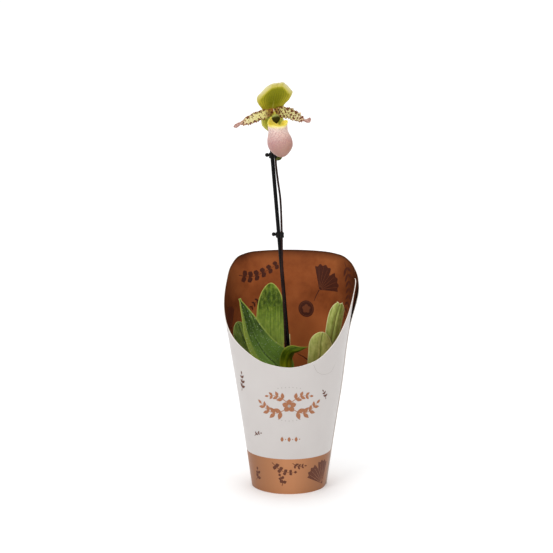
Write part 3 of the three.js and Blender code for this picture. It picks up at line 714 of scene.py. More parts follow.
@dataclass(frozen=True)
class LeafSkin(Finish):
    """Fresh strap leaf: a satin cuticle over tessellated green, streaked along its length."""

    light: str
    middle: str
    dark: str
    margin: str
    rib: str
    foot: str
    foot_span: tuple[float, float] = (0.2, 0.5)  # shares of the length where the foot's tone ends
    foot_strength: float = 0.6
    block: float = 7.0  # millimetres across one light or dark block
    streak: float = 4.0  # millimetres across one streak
    streaked: float = 0.4  # share of the streaks in the pattern
    contrast: float = 0.5
    edge_width: float = 1.0
    rib_strength: float = 0.75
    specks: float = 0.0
    roughness: float = 0.42
    painted_shade_span: tuple[float, float] = (1.0, 1.0)  # shares of the length where a band of painted shade lies
    painted_lit_side: float = 0.0  # share of the width that stands up, lightened as painted light

    def surface(self, graph: Graph) -> dict[str, Any]:
        """Lays out blocks, streaks, veins, a band of painted shade, a side lightened as painted light,
        the rib, the pale margin and the specks.
        """
        axes = graph.add("SeparateXYZ", [graph.flat])
        shares = graph.add("SeparateXYZ", [graph.blade])
        across, share = shares.outputs["X"], shares.outputs["Y"]
        # Blocks are twice as long as they are wide, and their borders wander.
        stretched = graph.add("Mapping", {
            "Vector": graph.flat, "Scale": (1 / self.block, 0.5 / self.block, 0.0),
        })
        blocks = graph.add("TexNoise", [stretched, 1.0, 5.0, 0.6])
        drawn = graph.add("Mapping", {"Vector": graph.flat, "Scale": (1 / self.streak, 0.012, 0.0)})
        streaks = graph.add("TexNoise", [drawn, 1.0, 2.0])
        pattern = graph.add("Mix", [self.streaked, blocks, streaks], data_type="FLOAT")
        tone = graph.add("ValToRGB", [pattern], ramp=[
            (0.5 - 0.2 * self.contrast, self.dark), (0.5 + 0.22 * self.contrast, self.light),
            (0.5, self.middle),
        ])
        low, high = self.foot_span
        # The foot takes its own tone: lighter on most leaves, and darker on the pale ones, where it is
        # painted shade.
        foot_toned = graph.tint(tone, self.foot, share, low, high, self.foot_strength, 0.0)
        lines = graph.add("Mapping", {"Vector": graph.flat, "Scale": (1.1, 0.012, 0.0)})
        veins = graph.add("TexNoise", [lines, 1.0, 3.0])
        veined = graph.tint(foot_toned, self.dark, veins, 0.5, 0.68, 0.0, 0.55)
        # A band of painted shade, patchy with the blocks, darkens the blade where it curves away from
        # the light.
        start, end = self.painted_shade_span
        into = graph.add("MapRange", [share, start - 0.1, start + 0.001])
        past = graph.add("MapRange", [share, end, end + 0.06])
        band = graph.add("Math", [into, past], operation="SUBTRACT", use_clamp=True)
        mottle = graph.add("MapRange", [blocks, 0.36, 0.62, 0.9, 0.3])
        patch = graph.add("Math", [band, mottle], operation="MULTIPLY")
        shade_banded = graph.add("Mix", [patch, veined, self.dark])
        # The side that stands up is lightened towards the margin's colour as painted light.
        side = graph.add("ValToRGB", [across], ramp=[
            (max(0.0, self.painted_lit_side - 0.05), "#C8C8C8"), (1.0, "#000000"), (self.painted_lit_side, "#000000"),
        ])
        flank = graph.add("Mix", [side if self.painted_lit_side else 0.0, shade_banded, self.margin])
        middle = graph.add("Math", [axes.outputs["X"]], operation="ABSOLUTE")
        ribbed = graph.tint(flank, self.rib, middle, 0.25, 1.1, self.rib_strength, 0.0)
        rim = graph.add("MapRange", [
            axes.outputs["Z"], self.edge_width * 0.5, self.edge_width * 1.6, 0.9, 0.0,
        ])
        edged = graph.add("Mix", [rim, ribbed, self.margin])
        dots = graph.add("TexVoronoi", [graph.flat, 0.24], voronoi_dimensions="2D")
        colour = graph.tint(edged, "#A9B79A", dots, 0.04, 0.12, self.specks, 0.0)
        height = graph.add("Math", [veins, pattern], operation="ADD")
        return graph.skin(
            colour, self.roughness, height, (0.45, 0.35), 0.12, (0.12, (0.9, 1.0, 0.2), 0.6),
        )


@dataclass(frozen=True)
class StemSkin(Finish):
    """Young stem skin, streaked along its length and dulled by its down."""

    dark: str = "#160A0A"
    light: str = "#38201C"
    roughness: float = 0.6

    def surface(self, graph: Graph) -> dict[str, Any]:
        """Streaks the skin along its length."""
        long = graph.add("Mapping", {"Vector": graph.flat, "Scale": (0.9, 0.08, 0.0)})
        streak = graph.add("TexNoise", [long, 1.0, 4.0])
        tone = graph.add("ValToRGB", [streak], ramp=[(0.35, self.dark), (0.75, self.light)])
        return graph.skin(tone, self.roughness, streak, (0.4, 0.15), 0.1)


@dataclass(frozen=True)
class Down(Finish):
    """Fine plant hair, darker at random."""

    light: str
    dark: str

    def surface(self, graph: Graph) -> dict[str, Any]:
        """Varies the colour from hair to hair."""
        one = graph.add("TexNoise", [graph.place, PER_MM / 1.5])
        tone = graph.add("ValToRGB", [one], ramp=[(0.4, self.dark), (0.62, self.light)])
        return {"Base Color": tone, "Roughness": 0.55}


@dataclass(frozen=True)
class HoodTissue(Finish):
    """Dorsal sepal: olive green with darker veins, a yellow border and a milky upper margin."""

    def surface(self, graph: Graph) -> dict[str, Any]:
        """Zones the colour in from the margin, and runs the veins from base to tip."""
        inner = graph.add("SeparateXYZ", [graph.flat]).outputs["Z"]
        shares = graph.add("SeparateXYZ", [graph.blade])
        share = shares.outputs["Y"]
        off = graph.add("Math", [shares.outputs["X"], 0.5], operation="SUBTRACT")
        aside = graph.add("Math", [off], operation="ABSOLUTE")
        cloud = graph.add("TexNoise", [graph.flat, 0.3, 4.0])
        ragged = graph.add("MapRange", [cloud, 0.0, 1.0, -0.9, 0.9])
        # The milky margin is broad on the upper half, and narrows towards the base and the tip.
        crowd = graph.add("ValToRGB", [share], ramp=[
            (0.18, "#F0F0F0"), (1.0, "#BCBCBC"), (0.5, "#545454"), (0.84, "#545454"),
        ])
        scale = graph.add("MapRange", [crowd, 0.0, 1.0, 0.6, 3.4])
        packed = graph.add("Math", [inner, scale], operation="MULTIPLY")
        depth = graph.add("Math", [packed, ragged], operation="ADD")
        zone = graph.add("MapRange", [depth, 0.0, 16.0])
        tone = graph.add("ValToRGB", [zone], ramp=[
            (0.0, "#D6CFA6"), (1.0, "#737403"), (0.14, "#CFC480"), (0.24, "#CCC05C"), (0.31, "#AEA628"),
            (0.42, "#84840A"),
        ])
        low = graph.add("MapRange", [share, 0.3, 0.62, 0.9, 0.0])
        wide = graph.add("MapRange", [aside, 0.14, 0.38])
        yellowing = graph.add("Math", [low, wide], operation="MULTIPLY")
        flanks = graph.add("Mix", [yellowing, tone, "#B4A82C"])
        # The veins are even shares of the width, so they close towards base and tip.
        across = graph.add("Math", [shares.outputs["X"], 2 * math.pi * 15], operation="MULTIPLY")
        sway = graph.add("MapRange", [cloud, 0.0, 1.0, -1.4, 1.4])
        phase = graph.add("Math", [across, sway], operation="ADD")
        swing = graph.add("Math", [phase], operation="COSINE")
        narrow = graph.add("MapRange", [swing, 0.2, 1.0])
        fade = graph.add("MapRange", [depth, 2.6, 6.5, 0.0, 0.6])
        strength = graph.add("Math", [narrow, fade], operation="MULTIPLY")
        veined = graph.add("Mix", [strength, flanks, "#575703"])
        based = graph.tint(veined, "#B8AE2A", share, 0.04, 0.22, 0.8, 0.0)
        keel = graph.add("MapRange", [aside, 0.005, 0.035, 0.6, 0.0])
        short = graph.add("MapRange", [share, 0.1, 0.32, 1.0, 0.0])
        streak = graph.add("Math", [keel, short], operation="MULTIPLY")
        keeled = graph.add("Mix", [streak, based, "#C4BE5C"])
        grain = graph.add("TexNoise", [graph.flat, 2.2, 3.0])
        mealy = graph.add("MapRange", [grain, 0.45, 0.7, 0.0, 0.35])
        netted = graph.add("Math", [mealy, fade], operation="MULTIPLY")
        speckled = graph.add("Mix", [netted, keeled, "#B8B02E"])
        height = graph.add("Math", [strength, grain], operation="ADD")
        return graph.skin(speckled, 0.5, height, (0.35, 0.2), 0.1, (0.15, (1.0, 0.9, 0.25), 0.7))


@dataclass(frozen=True)
class LowerSepalTissue(Finish):
    """Synsepal: yellow green with fine green veins."""

    def surface(self, graph: Graph) -> dict[str, Any]:
        """Runs the veins down from the base."""
        inner = graph.add("SeparateXYZ", [graph.flat]).outputs["Z"]
        share = graph.add("SeparateXYZ", [graph.blade]).outputs["X"]
        across = graph.add("Math", [share, 2 * math.pi * 12], operation="MULTIPLY")
        swing = graph.add("Math", [across], operation="COSINE")
        narrow = graph.add("MapRange", [swing, 0.2, 1.0, 0.0, 0.55])
        zone = graph.add("MapRange", [inner, 0.0, 9.0])
        tone = graph.add("ValToRGB", [zone], ramp=[
            (0.0, "#D4D072"), (1.0, "#A4AA2C"), (0.4, "#BDBB46"),
        ])
        veined = graph.add("Mix", [narrow, tone, "#7C8A1A"])
        return graph.skin(veined, 0.5, narrow, (0.3, 0.2), 0.12, (0.15, (0.8, 0.9, 0.25), 0.7))


@dataclass(frozen=True)
class PetalTissue(Finish):
    """Petal: cream yellow, thickly spotted with maroon, with a rusty margin and a pink tip."""

    spotting: float = 0.0  # how much nearer each spot's border reaches, in shares of a cell

    def surface(self, graph: Graph) -> dict[str, Any]:
        """Scatters two sizes of ragged spot, thickest along the margins."""
        inner = graph.add("SeparateXYZ", [graph.flat]).outputs["Z"]
        share = graph.add("SeparateXYZ", [graph.blade]).outputs["Y"]
        cloud = graph.add("TexNoise", [graph.flat, 0.8, 3.0])
        ground = graph.add("ValToRGB", [share], ramp=[
            (0.0, "#A67C24"), (1.0, "#C49E94"), (0.08, "#BFA348"), (0.16, "#D8CE80"), (0.62, "#E2D8A0"),
            (0.76, "#D8B898"), (0.84, "#CDA499"),
        ])
        ragged = graph.add("MapRange", [cloud, 0.3, 0.7, -0.16, 0.16])
        crowded = graph.add("MapRange", [inner, 0.0, 3.4, -0.15, 0.15 - self.spotting])
        shift = graph.add("Math", [ragged, crowded], operation="ADD")
        large = graph.add("TexVoronoi", [graph.flat, 0.36], voronoi_dimensions="2D")
        small = graph.add("TexVoronoi", [graph.flat, 0.75], voronoi_dimensions="2D")
        far = graph.add("Math", [large, shift], operation="ADD")
        near = graph.add("Math", [small, shift], operation="ADD")
        spot = graph.add("MapRange", [far, 0.26, 0.36, 0.96, 0.0])
        dot = graph.add("MapRange", [near, 0.14, 0.26, 0.85, 0.0])
        both = graph.add("Math", [spot, dot], operation="MAXIMUM")
        ease = graph.add("MapRange", [share, 0.74, 0.84, 1.0, 0.45])
        marked = graph.add("Math", [both, ease], operation="MULTIPLY")
        spotted = graph.add("Mix", [marked, ground, "#642A0E"])
        rusty = graph.tint(spotted, "#A05A34", inner, 0.1, 0.7, 0.55, 0.0)
        return graph.skin(rusty, 0.5, both, (0.4, 0.2), 0.12, (0.12, (1.0, 0.8, 0.4), 0.4))


@dataclass(frozen=True)
class PouchTissue(Finish):
    """Slipper: waxy dull pink with a fine speckle, a yellow rim and a dusky foot, which is partly
    painted shade; its top is partly painted light, and its lining glows with painted light.
    """

    inside: bool = False

    def surface(self, graph: Graph) -> dict[str, Any]:
        """Goes from the foot to the rim, with painted shade low down and painted light high up, and
        speckles the wax.
        """
        speckle = graph.add("TexNoise", [graph.place, PER_MM / 1.2, 3.0])
        if self.inside:
            dots = graph.add("TexVoronoi", [graph.place, PER_MM / 1.9])
            colour = graph.tint("#F0E06A", "#C88C38", dots, 0.16, 0.28, 0.5, 0.0)
        else:
            axes = graph.add("SeparateXYZ", [graph.flat])
            # From a dusky foot to a near-white top: partly the pouch's own colour, partly painted shade
            # below and painted light above.
            height = graph.add("MapRange", [axes.outputs["Y"], -48.0, -14.0])
            skin = graph.add("ValToRGB", [height], ramp=[
                (0.0, "#7C5A3A"), (1.0, "#FFF3E6"), (0.2, "#946A4E"), (0.5, "#BC9288"),
                (0.78, "#EED6C9"),
            ])
            # The right flank is browner and darker and the left one cooler, partly the pouch's own
            # colour and partly painted shade on the right, away from the light.
            flank = graph.add("MapRange", [axes.outputs["X"], -14.0, 14.0])
            sides = graph.add("ValToRGB", [flank], ramp=[
                (0.0, "#BC9499"), (1.0, "#A06C56"), (0.5, "#D2AC9F"),
            ])
            blush = graph.add("Mix", [0.4, skin, sides])
            grained = graph.tint(blush, "#A8787A", speckle, 0.44, 0.62, 0.0, 0.6)
            rim = graph.add(
                "ValToRGB", [graph.add("MapRange", [axes.outputs["Z"], 0.0, 7.0])],
                ramp=[(0.0, "#FFFFFF"), (1.0, "#000000"), (0.36, "#E8E8E8"), (0.62, "#5C5C5C")],
            )
            # The yellow pales below the middle of the lip.
            aside = graph.add("Math", [axes.outputs["X"]], operation="ABSOLUTE")
            centre = graph.add("MapRange", [aside, 3.0, 9.0, 0.7, 0.0])
            under = graph.add("MapRange", [axes.outputs["Z"], 0.8, 2.2])
            pale = graph.add("Math", [centre, under], operation="MULTIPLY")
            lip = graph.add("Mix", [pale, "#E8D84A", "#F4E9BC"])
            colour = graph.add("Mix", [rim, grained, lip])
        # Light that falls on the thin wall from without passes through to the inside, and the lining's
        # faint yellow glow is painted light that adds to it.
        wall = (0.7, (1.0, 0.9, 0.5), 1.6) if self.inside else (0.2, (1.0, 0.6, 0.45), 0.8)
        glow = {"Emission Color": "#E8D858", "Emission Strength": 0.12 if self.inside else 0.0}
        return graph.skin(colour, 0.45, speckle, (0.25, 0.12), 0.25, wall) | glow


@dataclass(frozen=True)
class FlowerWax(Finish):
    """Waxy tissue of the column and its shield, from one colour above to another below."""

    above: str
    below: str
    end: str
    turn: float  # share of the way down where the colours meet
    roughness: float = 0.35

    def surface(self, graph: Graph) -> dict[str, Any]:
        """Shades the wax down its length and nets it finely."""
        share = graph.add("SeparateXYZ", [graph.blade]).outputs["Y"]
        net = graph.add("TexVoronoi", [graph.flat, 1.4], feature="DISTANCE_TO_EDGE")
        noise = graph.add("TexNoise", [graph.flat, 0.8, 3.0])
        sway = graph.add("MapRange", [noise, 0.0, 1.0, -0.1, 0.1])
        place = graph.add("Math", [share, sway], operation="ADD")
        tone = graph.add("ValToRGB", [place], ramp=[
            (max(0.0, self.turn - 0.1), self.above), (0.99, self.end), (self.turn + 0.1, self.below),
            (0.88, self.below),
        ])
        netted = graph.tint(tone, "#1A1A02", net, 0.0, 0.12, 0.25, 0.0)
        return graph.skin(netted, self.roughness, net, (0.2, 0.15), 0.04)


@dataclass(frozen=True)
class StudioFloor(Finish):
    """A seamless pale floor with the faintest grain."""

    def surface(self, graph: Graph) -> dict[str, Any]:
        """Keeps the floor even and matt."""
        grain = graph.add("TexNoise", [graph.place, 40.0])
        tone = graph.add("Mix", [grain, "#F6F6F6", "#FAFAFA"])
        return {"Base Color": tone, "Roughness": 0.9, "Specular IOR Level": 0.1}


CUT_BOARD = CutBoard("cut carton edge")
WHITE_BOARD = PaintedBoard("clay-coated carton, printed")
BROWN_BOARD = BrownBoard("carton inside, printed brown")
DARK_INK = Ink("dark brown ink", "#4A2114", "#5E2E1A")
VEIN_INK = Ink("rubbed brown ink", "#7B4327", "#85492B")
COPPER_INK = Ink("copper brown ink", "#A0694A", "#B68A6C")
GREY_INK = Ink("warm grey ink", "#A79F9B", "#BDB6B2")
FOOT_INK = Ink("umber ink", "#5F382A", "#754A38")
POT_PLASTIC = Moulded("matt moulded pot plastic", "#0E0D0C", "#1C1A19", 0.55, 0.08)
CLIP_PLASTIC = Moulded("satin moulded clip plastic", "#0A0A0A", "#1C1A19", 0.38, 0.06)
STAKE_PLASTIC = Moulded("glossy extruded rod plastic", "#060505", "#0E0D0E", 0.24, 0.05)
BARK = Bark("coarse fir bark")
ROOT_SKIN = RootSkin("felted root")
STEM_SKIN = StemSkin("purple-brown stem skin")
STEM_DOWN = Down("stem down", "#6B4A45", "#22100F")
BRACT_SKIN = StemSkin("green bract skin", "#2A2A08", "#62641C", 0.5)
BUD_SKIN = StemSkin("dark bud skin", "#140D08", "#33241A", 0.55)


# ---- the carton sleeve


class Side(Enum):
    """The two printed sides of the carton sheet."""

    OUTSIDE = 1
    INSIDE = -1


@dataclass
class Motif:
    """One printed shape: a patch that is laid on the sheet, with the ink it is printed in."""

    draw: Callable[[float, float], tuple[float, float]]
    columns: int
    rows: int
    ink: int = 0
    wraps: bool = False

    def moved(self, x: float, y: float, turn: float = 0.0, size: float = 1.0) -> "Motif":
        """Gives the motif at a place on the sheet.

        Args:
            x: millimetres to the right.
            y: millimetres up.
            turn: degrees anticlockwise.
            size: times its size.

        Returns:
            The moved motif.
        """
        cosine, sine = math.cos(math.radians(turn)) * size, math.sin(math.radians(turn)) * size

        def draw(u: float, v: float) -> tuple[float, float]:
            """Turns, scales and moves the point."""
            px, py = self.draw(u, v)
            return x + px * cosine - py * sine, y + px * sine + py * cosine

        return Motif(draw, self.columns, self.rows, self.ink, self.wraps)


def leaf_print(length: float, width: float, ink: int = 0, peak: float = 0.45) -> Motif:
    """Draws a filled leaf that stands on its stalk end."""
    outline = through([(0, 0.04), (peak * 0.5, 0.36), (peak, 0.5), ((1 + peak) / 2, 0.33), (1, 0.01)])
    return Motif(lambda u, v: ((2 * u - 1) * width * outline(v), length * v), 4, 18, ink)


def fan_print(radius: float, spread: float, ink: int = 0) -> Motif:
    """Draws a fan leaf with a lobed outer edge, like a maidenhair leaf.

    Args:
        radius: from the stalk to the edge.
        spread: degrees to each side.
        ink: its ink.

    Returns:
        The motif.
    """

    def draw(u: float, v: float) -> tuple[float, float]:
        """Sweeps the fan from one side to the other.

        Args:
            u: the share across, or round.
            v: the share along, or up.

        Returns:
            Its place on the sheet.
        """
        angle = math.radians((2 * u - 1) * spread)
        cleft = 0.22 * bump(2 * u - 1, 0.0, 0.09)
        edge = 1 - cleft + 0.035 * math.cos(14 * math.pi * u) - 0.12 * (2 * u - 1) ** 4
        reach = radius * edge * (0.03 + 0.97 * v)
        return reach * math.sin(angle), reach * math.cos(angle)

    return Motif(draw, 48, 10, ink)


def disc_print(radius: float, ink: int = 0, hole: float = 0.0) -> Motif:
    """Draws a disc, or a ring with a hole.

    Args:
        radius: its radius.
        ink: its ink.
        hole: the hole's share of the radius.

    Returns:
        The motif.
    """

    def draw(u: float, v: float) -> tuple[float, float]:
        """Goes round the disc."""
        angle, reach = 2 * math.pi * u, radius * (hole + (1 - hole) * v)
        return -reach * math.sin(angle), -reach * math.cos(angle)

    return Motif(draw, 32, 6 if radius > 3 else 2, ink, wraps=True)


def stroke_print(points: Points, width: float, ink: int = 0) -> Motif:
    """Draws a line of one width through points, tapered at its end.

    Args:
        points: where it goes.
        width: its width at the start.
        ink: its ink.

    Returns:
        The motif.
    """
    line = Line([(x, y, 0.0) for x, y in points])

    def draw(u: float, v: float) -> tuple[float, float]:
        """Goes along the line and to its side."""
        centre, along = line.at(v)
        reach = (u - 0.5) * width * (1 - 0.6 * v)
        return centre.x + along.y * reach, centre.y - along.x * reach

    return Motif(draw, 1, max(6, int(line.length / 1.5)), ink)


def veined_fan(radius: float, spread: float, fork: float, stalk: Sequence[Motif] = ()) -> list[Motif]:
    """Draws a fan leaf, its stalk, and seven pale veins that part by so many degrees.

    Args:
        radius: from the stalk to the edge.
        spread: degrees to each side.
        fork: degrees from one vein to the next.
        stalk: what is printed under the veins.

    Returns:
        The motifs.
    """
    motifs = [fan_print(radius, spread), *stalk]
    for k in range(-3, 4):
        angle = math.radians(k * fork)
        ends = [(math.sin(angle) * radius * r, math.cos(angle) * radius * r) for r in (0.12, 0.5, 0.9)]
        motifs.append(stroke_print(ends, 0.5, ink=1))
    return motifs


def spray_print(
    stem: Points,
    leaves: int,
    leaf: Motif,
    lean: float,
    shrink: float = 0.5,
    ink: int = 0,
) -> list[Motif]:
    """Draws a stem with leaves on both sides and one at its end.

    Args:
        stem: the stem's points.
        leaves: pairs of leaves.
        leaf: one leaf, standing on its stalk.
        lean: degrees between a leaf and the stem.
        shrink: how much smaller the last leaves are.
        ink: the stem's ink.

    Returns:
        The motifs.
    """
    line = Line([(x, y, 0.0) for x, y in stem])
    motifs = [stroke_print(stem, 0.9, ink)]
    for i in range(leaves):
        share = (i + 0.8) / (leaves + 0.6)
        centre, along = line.at(share)
        heading = math.degrees(math.atan2(along.y, along.x)) - 90
        size = 1 - shrink * share
        for side in (-1, 1):
            motifs.append(leaf.moved(centre.x, centre.y, heading + side * lean, size))
    centre, along = line.at(0.985)
    heading = math.degrees(math.atan2(along.y, along.x)) - 90
    motifs.append(leaf.moved(centre.x, centre.y, heading, 1 - shrink))
    return motifs


@dataclass
class CartonSleeve:
    """The carton sheet, wrapped into a cone and glued at a lap, and its printing."""

    foot: float = 43.0  # the outer radius at the foot
    flare: float = 0.135  # what the radius gains for each millimetre of height
    bell: float = 9.5e-5  # what it gains besides, by the height squared
    mean_radius: float = 70.0
    wall: float = 0.8
    inner_end: float = 99.0  # the bearing of the end that lies inside the lap
    outer_end: float = -276.0  # the bearing of the end that laps over it
    gap: float = 0.3
    glue_foot: float = 3.0
    glue_top: float = 184.0
    glue_span: tuple[float, float] = (14.625, 3.75)  # degrees before the inner end
    glue_bite: float = 0.7  # how much thicker the glue is than the gap, so it holds both sides
    film: float = 0.04  # an ink's thickness, and how far the first ink stands off the sheet
    second_film: float = 0.09  # how far an ink printed over another stands off
    edge: Shape = field(  # the height of the cut edge at a bearing
        default_factory=lambda: through(
            [
                (-276, 226), (-262, 235), (-252, 245), (-240, 254), (-226, 259.6), (-208, 261),
                (-152, 261), (-137, 258.4), (-124, 248), (-112, 230), (-98, 212), (-75, 188),
                (-50, 171.5), (-24, 158), (0, 154), (24, 159.5), (46, 177.5), (64, 204), (82, 231.5),
                (99, 240.5),
            ]
        )
    )

    def point(self, bearing: float, z: float, offset: float) -> Vector:
        """Finds a point of the sheet.

        Args:
            bearing: degrees round the axis, 0 at the front and 90 at the right.
            z: the height.
            offset: how far outside the outer face it is.

        Returns:
            The point.
        """
        # The glue draws both ends in, and above it they spring apart.
        held = -2.6 * rise(z, 110, self.glue_top)
        inner = rise(bearing, 45, 88) * (held - 1.4 * rise(z, self.glue_top, 235))
        outer = rise(-bearing, 215, 262) * (held + 3.0 * rise(z, self.glue_top, 226))
        over = (self.wall + self.gap) * rise(-bearing, 246, 258)
        radius = self.foot + self.flare * z + self.bell * z * z + inner + outer + over + offset
        angle = math.radians(bearing)
        return Vector((radius * math.sin(angle), -radius * math.cos(angle), z))

    def build_sheet(self) -> Piece:
        """Wraps the sheet and lays the glue line in its lap.

        Returns:
            The new object.
        """

        def place(u: float, v: float) -> Vector:
            """Goes round the sheet and up to its edge."""
            bearing = mix(self.outer_end, self.inner_end, u)
            return self.point(bearing, v * self.edge(bearing), -self.wall / 2)

        def flat(u: float, v: float) -> Vector:
            """Measures round the sheet, up it, and down from its edge.

            Args:
                u: the share across, or round.
                v: the share along, or up.

            Returns:
                The measures.
            """
            bearing = mix(self.outer_end, self.inner_end, u)
            round_way = math.radians(bearing) * self.mean_radius
            ends = min(self.inner_end - bearing, bearing - self.outer_end)
            below = min((1 - v) * self.edge(bearing), math.radians(ends) * self.mean_radius)
            return Vector((round_way, v * self.edge(bearing), below))

        bm = bend_grid(250, 64, place, flat)
        thicken(bm, lambda measures: self.wall)

        def glue_place(u: float, v: float) -> Vector:
            """Lies between the two ends of the sheet."""
            bearing = self.inner_end - mix(*self.glue_span, u)
            return self.point(bearing, mix(self.glue_foot, self.glue_top, v), self.gap / 2)

        glue = bend_grid(6, 40, glue_place)
        thicken(glue, lambda measures: self.gap + self.glue_bite)
        join(bm, glue, 2)
        return finish_piece(
            bm, "carton_sheet", "sleeve_carton", [WHITE_BOARD, BROWN_BOARD, CUT_BOARD], ["sleeve"]
        )

    def lay(self, bm: Mesh, motif: Motif, side: Side, anchor: float) -> None:
        """Prints one motif on the sheet as a film of ink.

        Args:
            bm: the print's mesh.
            motif: the shape, in millimetres from the anchor.
            side: the side of the sheet.
            anchor: the bearing where x is zero.
        """
        level = self.second_film if motif.ink else self.film
        offset = level if side is Side.OUTSIDE else -self.wall - level

        def place(u: float, v: float) -> Vector:
            """Wraps the drawing round the cone.

            Args:
                u: the share across, or round.
                v: the share along, or up.

            Returns:
                The point.
            """
            x, y = motif.draw(u, v)
            radius = self.foot + self.flare * y + self.bell * y * y
            turn = math.degrees(x / radius) * side.value
            return self.point(anchor + turn, y, offset)

        patch = bend_grid(motif.columns, motif.rows, place, wraps=motif.wraps)
        thicken(patch, lambda measures: self.film)
        join(bm, patch, motif.ink)

    def print_sheet(
        self,
        name: str,
        motifs: Iterable[Motif],
        side: Side,
        anchor: float,
        inks: Sequence[Ink],
    ) -> Piece:
        """Prints a group of motifs as one piece.

        Args:
            name: the piece's name.
            motifs: the shapes.
            side: the side of the sheet.
            anchor: the bearing where x is zero.
            inks: one ink for each ink number.

        Returns:
            The new object.
        """
        bm = bmesh.new()
        bm.loops.layers.uv.new("blade")
        bm.verts.layers.float_vector.new("flat")
        for motif in motifs:
            self.lay(bm, motif, side, anchor)
        return finish_piece(bm, name, "sleeve_carton", inks)

    def build_inside_print(self) -> Piece:
        """Prints fan leaves, round-leaved twigs and a rosette on the inside.

        Returns:
            The new object.
        """
        motifs: list[Motif] = []
        fans = (
            (38, 216, -38, 30, 50, 13.0), (-88, 178, 20, 26, 46, 11.96), (26, 132, -128, 34, 44, 11.44),
        )
        for x, y, turn, radius, spread, fork in fans:
            stalk = [stroke_print([(0, 0), (1, -radius * 0.25), (3, -radius * 0.5)], 1.4)]
            motifs += [m.moved(x, y, turn) for m in veined_fan(radius, spread, fork, stalk)]
        round_leaf = leaf_print(8.2, 8.6, peak=0.55)
        sprays = [
            ([(-66, 236), (-48, 232), (-30, 236), (-10, 246)], 6, round_leaf, 62, 0.35),
            ([(76, 252), (84, 236), (88, 216), (86, 196)], 7, leaf_print(12.5, 4.2), 48, 0.4),
            ([(-34, 206), (-44, 200), (-52, 190)], 4, leaf_print(6.4, 2.6), 50, 0.4),
            ([(62, 160), (60, 168), (56, 178)], 2, leaf_print(6, 2.8), 52, 0.3),
        ]
        for spray in sprays:
            motifs += spray_print(*spray)
        seeds = [(52, 176), (56, 181), (60, 174), (58, 187), (66, 182), (63, 192)]
        motifs += [disc_print(1.5).moved(x, y) for x, y in seeds]
        # A plain disc with a five-petalled rosette.
        motifs.append(disc_print(9.6).moved(21.5, 193))
        petal = leaf_print(5.6, 4.4, ink=1, peak=0.62)
        motifs += [petal.moved(21.5, 193, 72 * k) for k in range(5)]
        motifs.append(disc_print(8.3, 1, 0.955).moved(21.5, 193))
        return self.print_sheet("inside_print", motifs, Side.INSIDE, -180.0, [DARK_INK, VEIN_INK])

    def build_front_print(self) -> Piece:
        """Prints two mirrored sprays with a blossom, and small sprigs, on the white front.

        Returns:
            The new object.
        """
        motifs: list[Motif] = []
        leaf = leaf_print(11.5, 5.6)
        for side in (-1, 1):
            stem = [(side * x, y) for x, y in ((4, 104), (14, 99), (24, 101), (33, 109))]
            motifs += spray_print(stem, 4, leaf, 44, 0.42)
            upper = [(side * x, y) for x, y in ((3, 113), (10, 118), (17, 120), (24, 119))]
            motifs += spray_print(upper, 3, leaf_print(9, 4.6), 46, 0.42)
        petal = leaf_print(8.4, 6.2, peak=0.62)
        motifs += [petal.moved(0, 108, 72 * k) for k in range(5)]
        motifs.append(disc_print(1.7, 1).moved(0, 108))
        for k in range(-3, 4):
            motifs.append(disc_print(0.55, 1).moved(k * 4.2, 91.5 - 1.6 * math.cos(k * 0.5)))
            motifs.append(disc_print(0.55, 1).moved(k * 4.2, 129 + 1.6 * math.cos(k * 0.5)))
        # Three small ornaments below.
        for x in (-8, 0, 8):
            motifs.append(leaf_print(6.6, 3.6).moved(x, 64.2))
            motifs.append(disc_print(0.7).moved(x + 4, 67.4))
        # Small sprigs towards the sides, and one long thin arc.
        small, smaller, long = leaf_print(4.6, 2.3, 2), leaf_print(4.0, 2.0, 2), leaf_print(7.5, 3.8, 2)
        motifs += spray_print([(46, 112), (45, 117), (42, 122)], 2, small, 50, 0.3, 2)
        motifs += spray_print([(-44, 67), (-40, 71), (-35, 72)], 2, smaller, 50, 0.3, 2)
        motifs += spray_print([(-66, 118), (-63, 128), (-64, 139)], 3, long, 48, 0.4, 2)
        arc = [(28, 156), (33, 147), (43, 142.5), (54, 145), (61, 154)]
        motifs.append(stroke_print(arc, 0.35, ink=1))
        inks = [COPPER_INK, GREY_INK, FOOT_INK]
        return self.print_sheet("front_print", motifs, Side.OUTSIDE, 0.0, inks)

    def build_foot_print(self) -> Piece:
        """Prints a fan leaf and twigs on the copper-brown foot band.

        Returns:
            The new object.
        """
        motifs = [m.moved(46, 6, 22) for m in veined_fan(30, 40, 10.5)]
        sprays = [
            ([(-20, 38), (-12, 31), (-4, 27), (6, 27)], 4, leaf_print(6, 5), 58, 0.35),
            ([(4, 38), (10, 34), (18, 34)], 3, leaf_print(5.5, 2.8), 50, 0.35),
            ([(-8, 10), (-7, 16), (-10, 22)], 2, leaf_print(5.5, 4.6), 55, 0.3),
            ([(-44, 12), (-40, 18), (-41, 25)], 2, leaf_print(6.5, 4.4), 52, 0.3),
        ]
        for spray in sprays:
            motifs += spray_print(*spray)
        return self.print_sheet("foot_print", motifs, Side.OUTSIDE, 0.0, [FOOT_INK, COPPER_INK])


# ---- the pot and what fills it


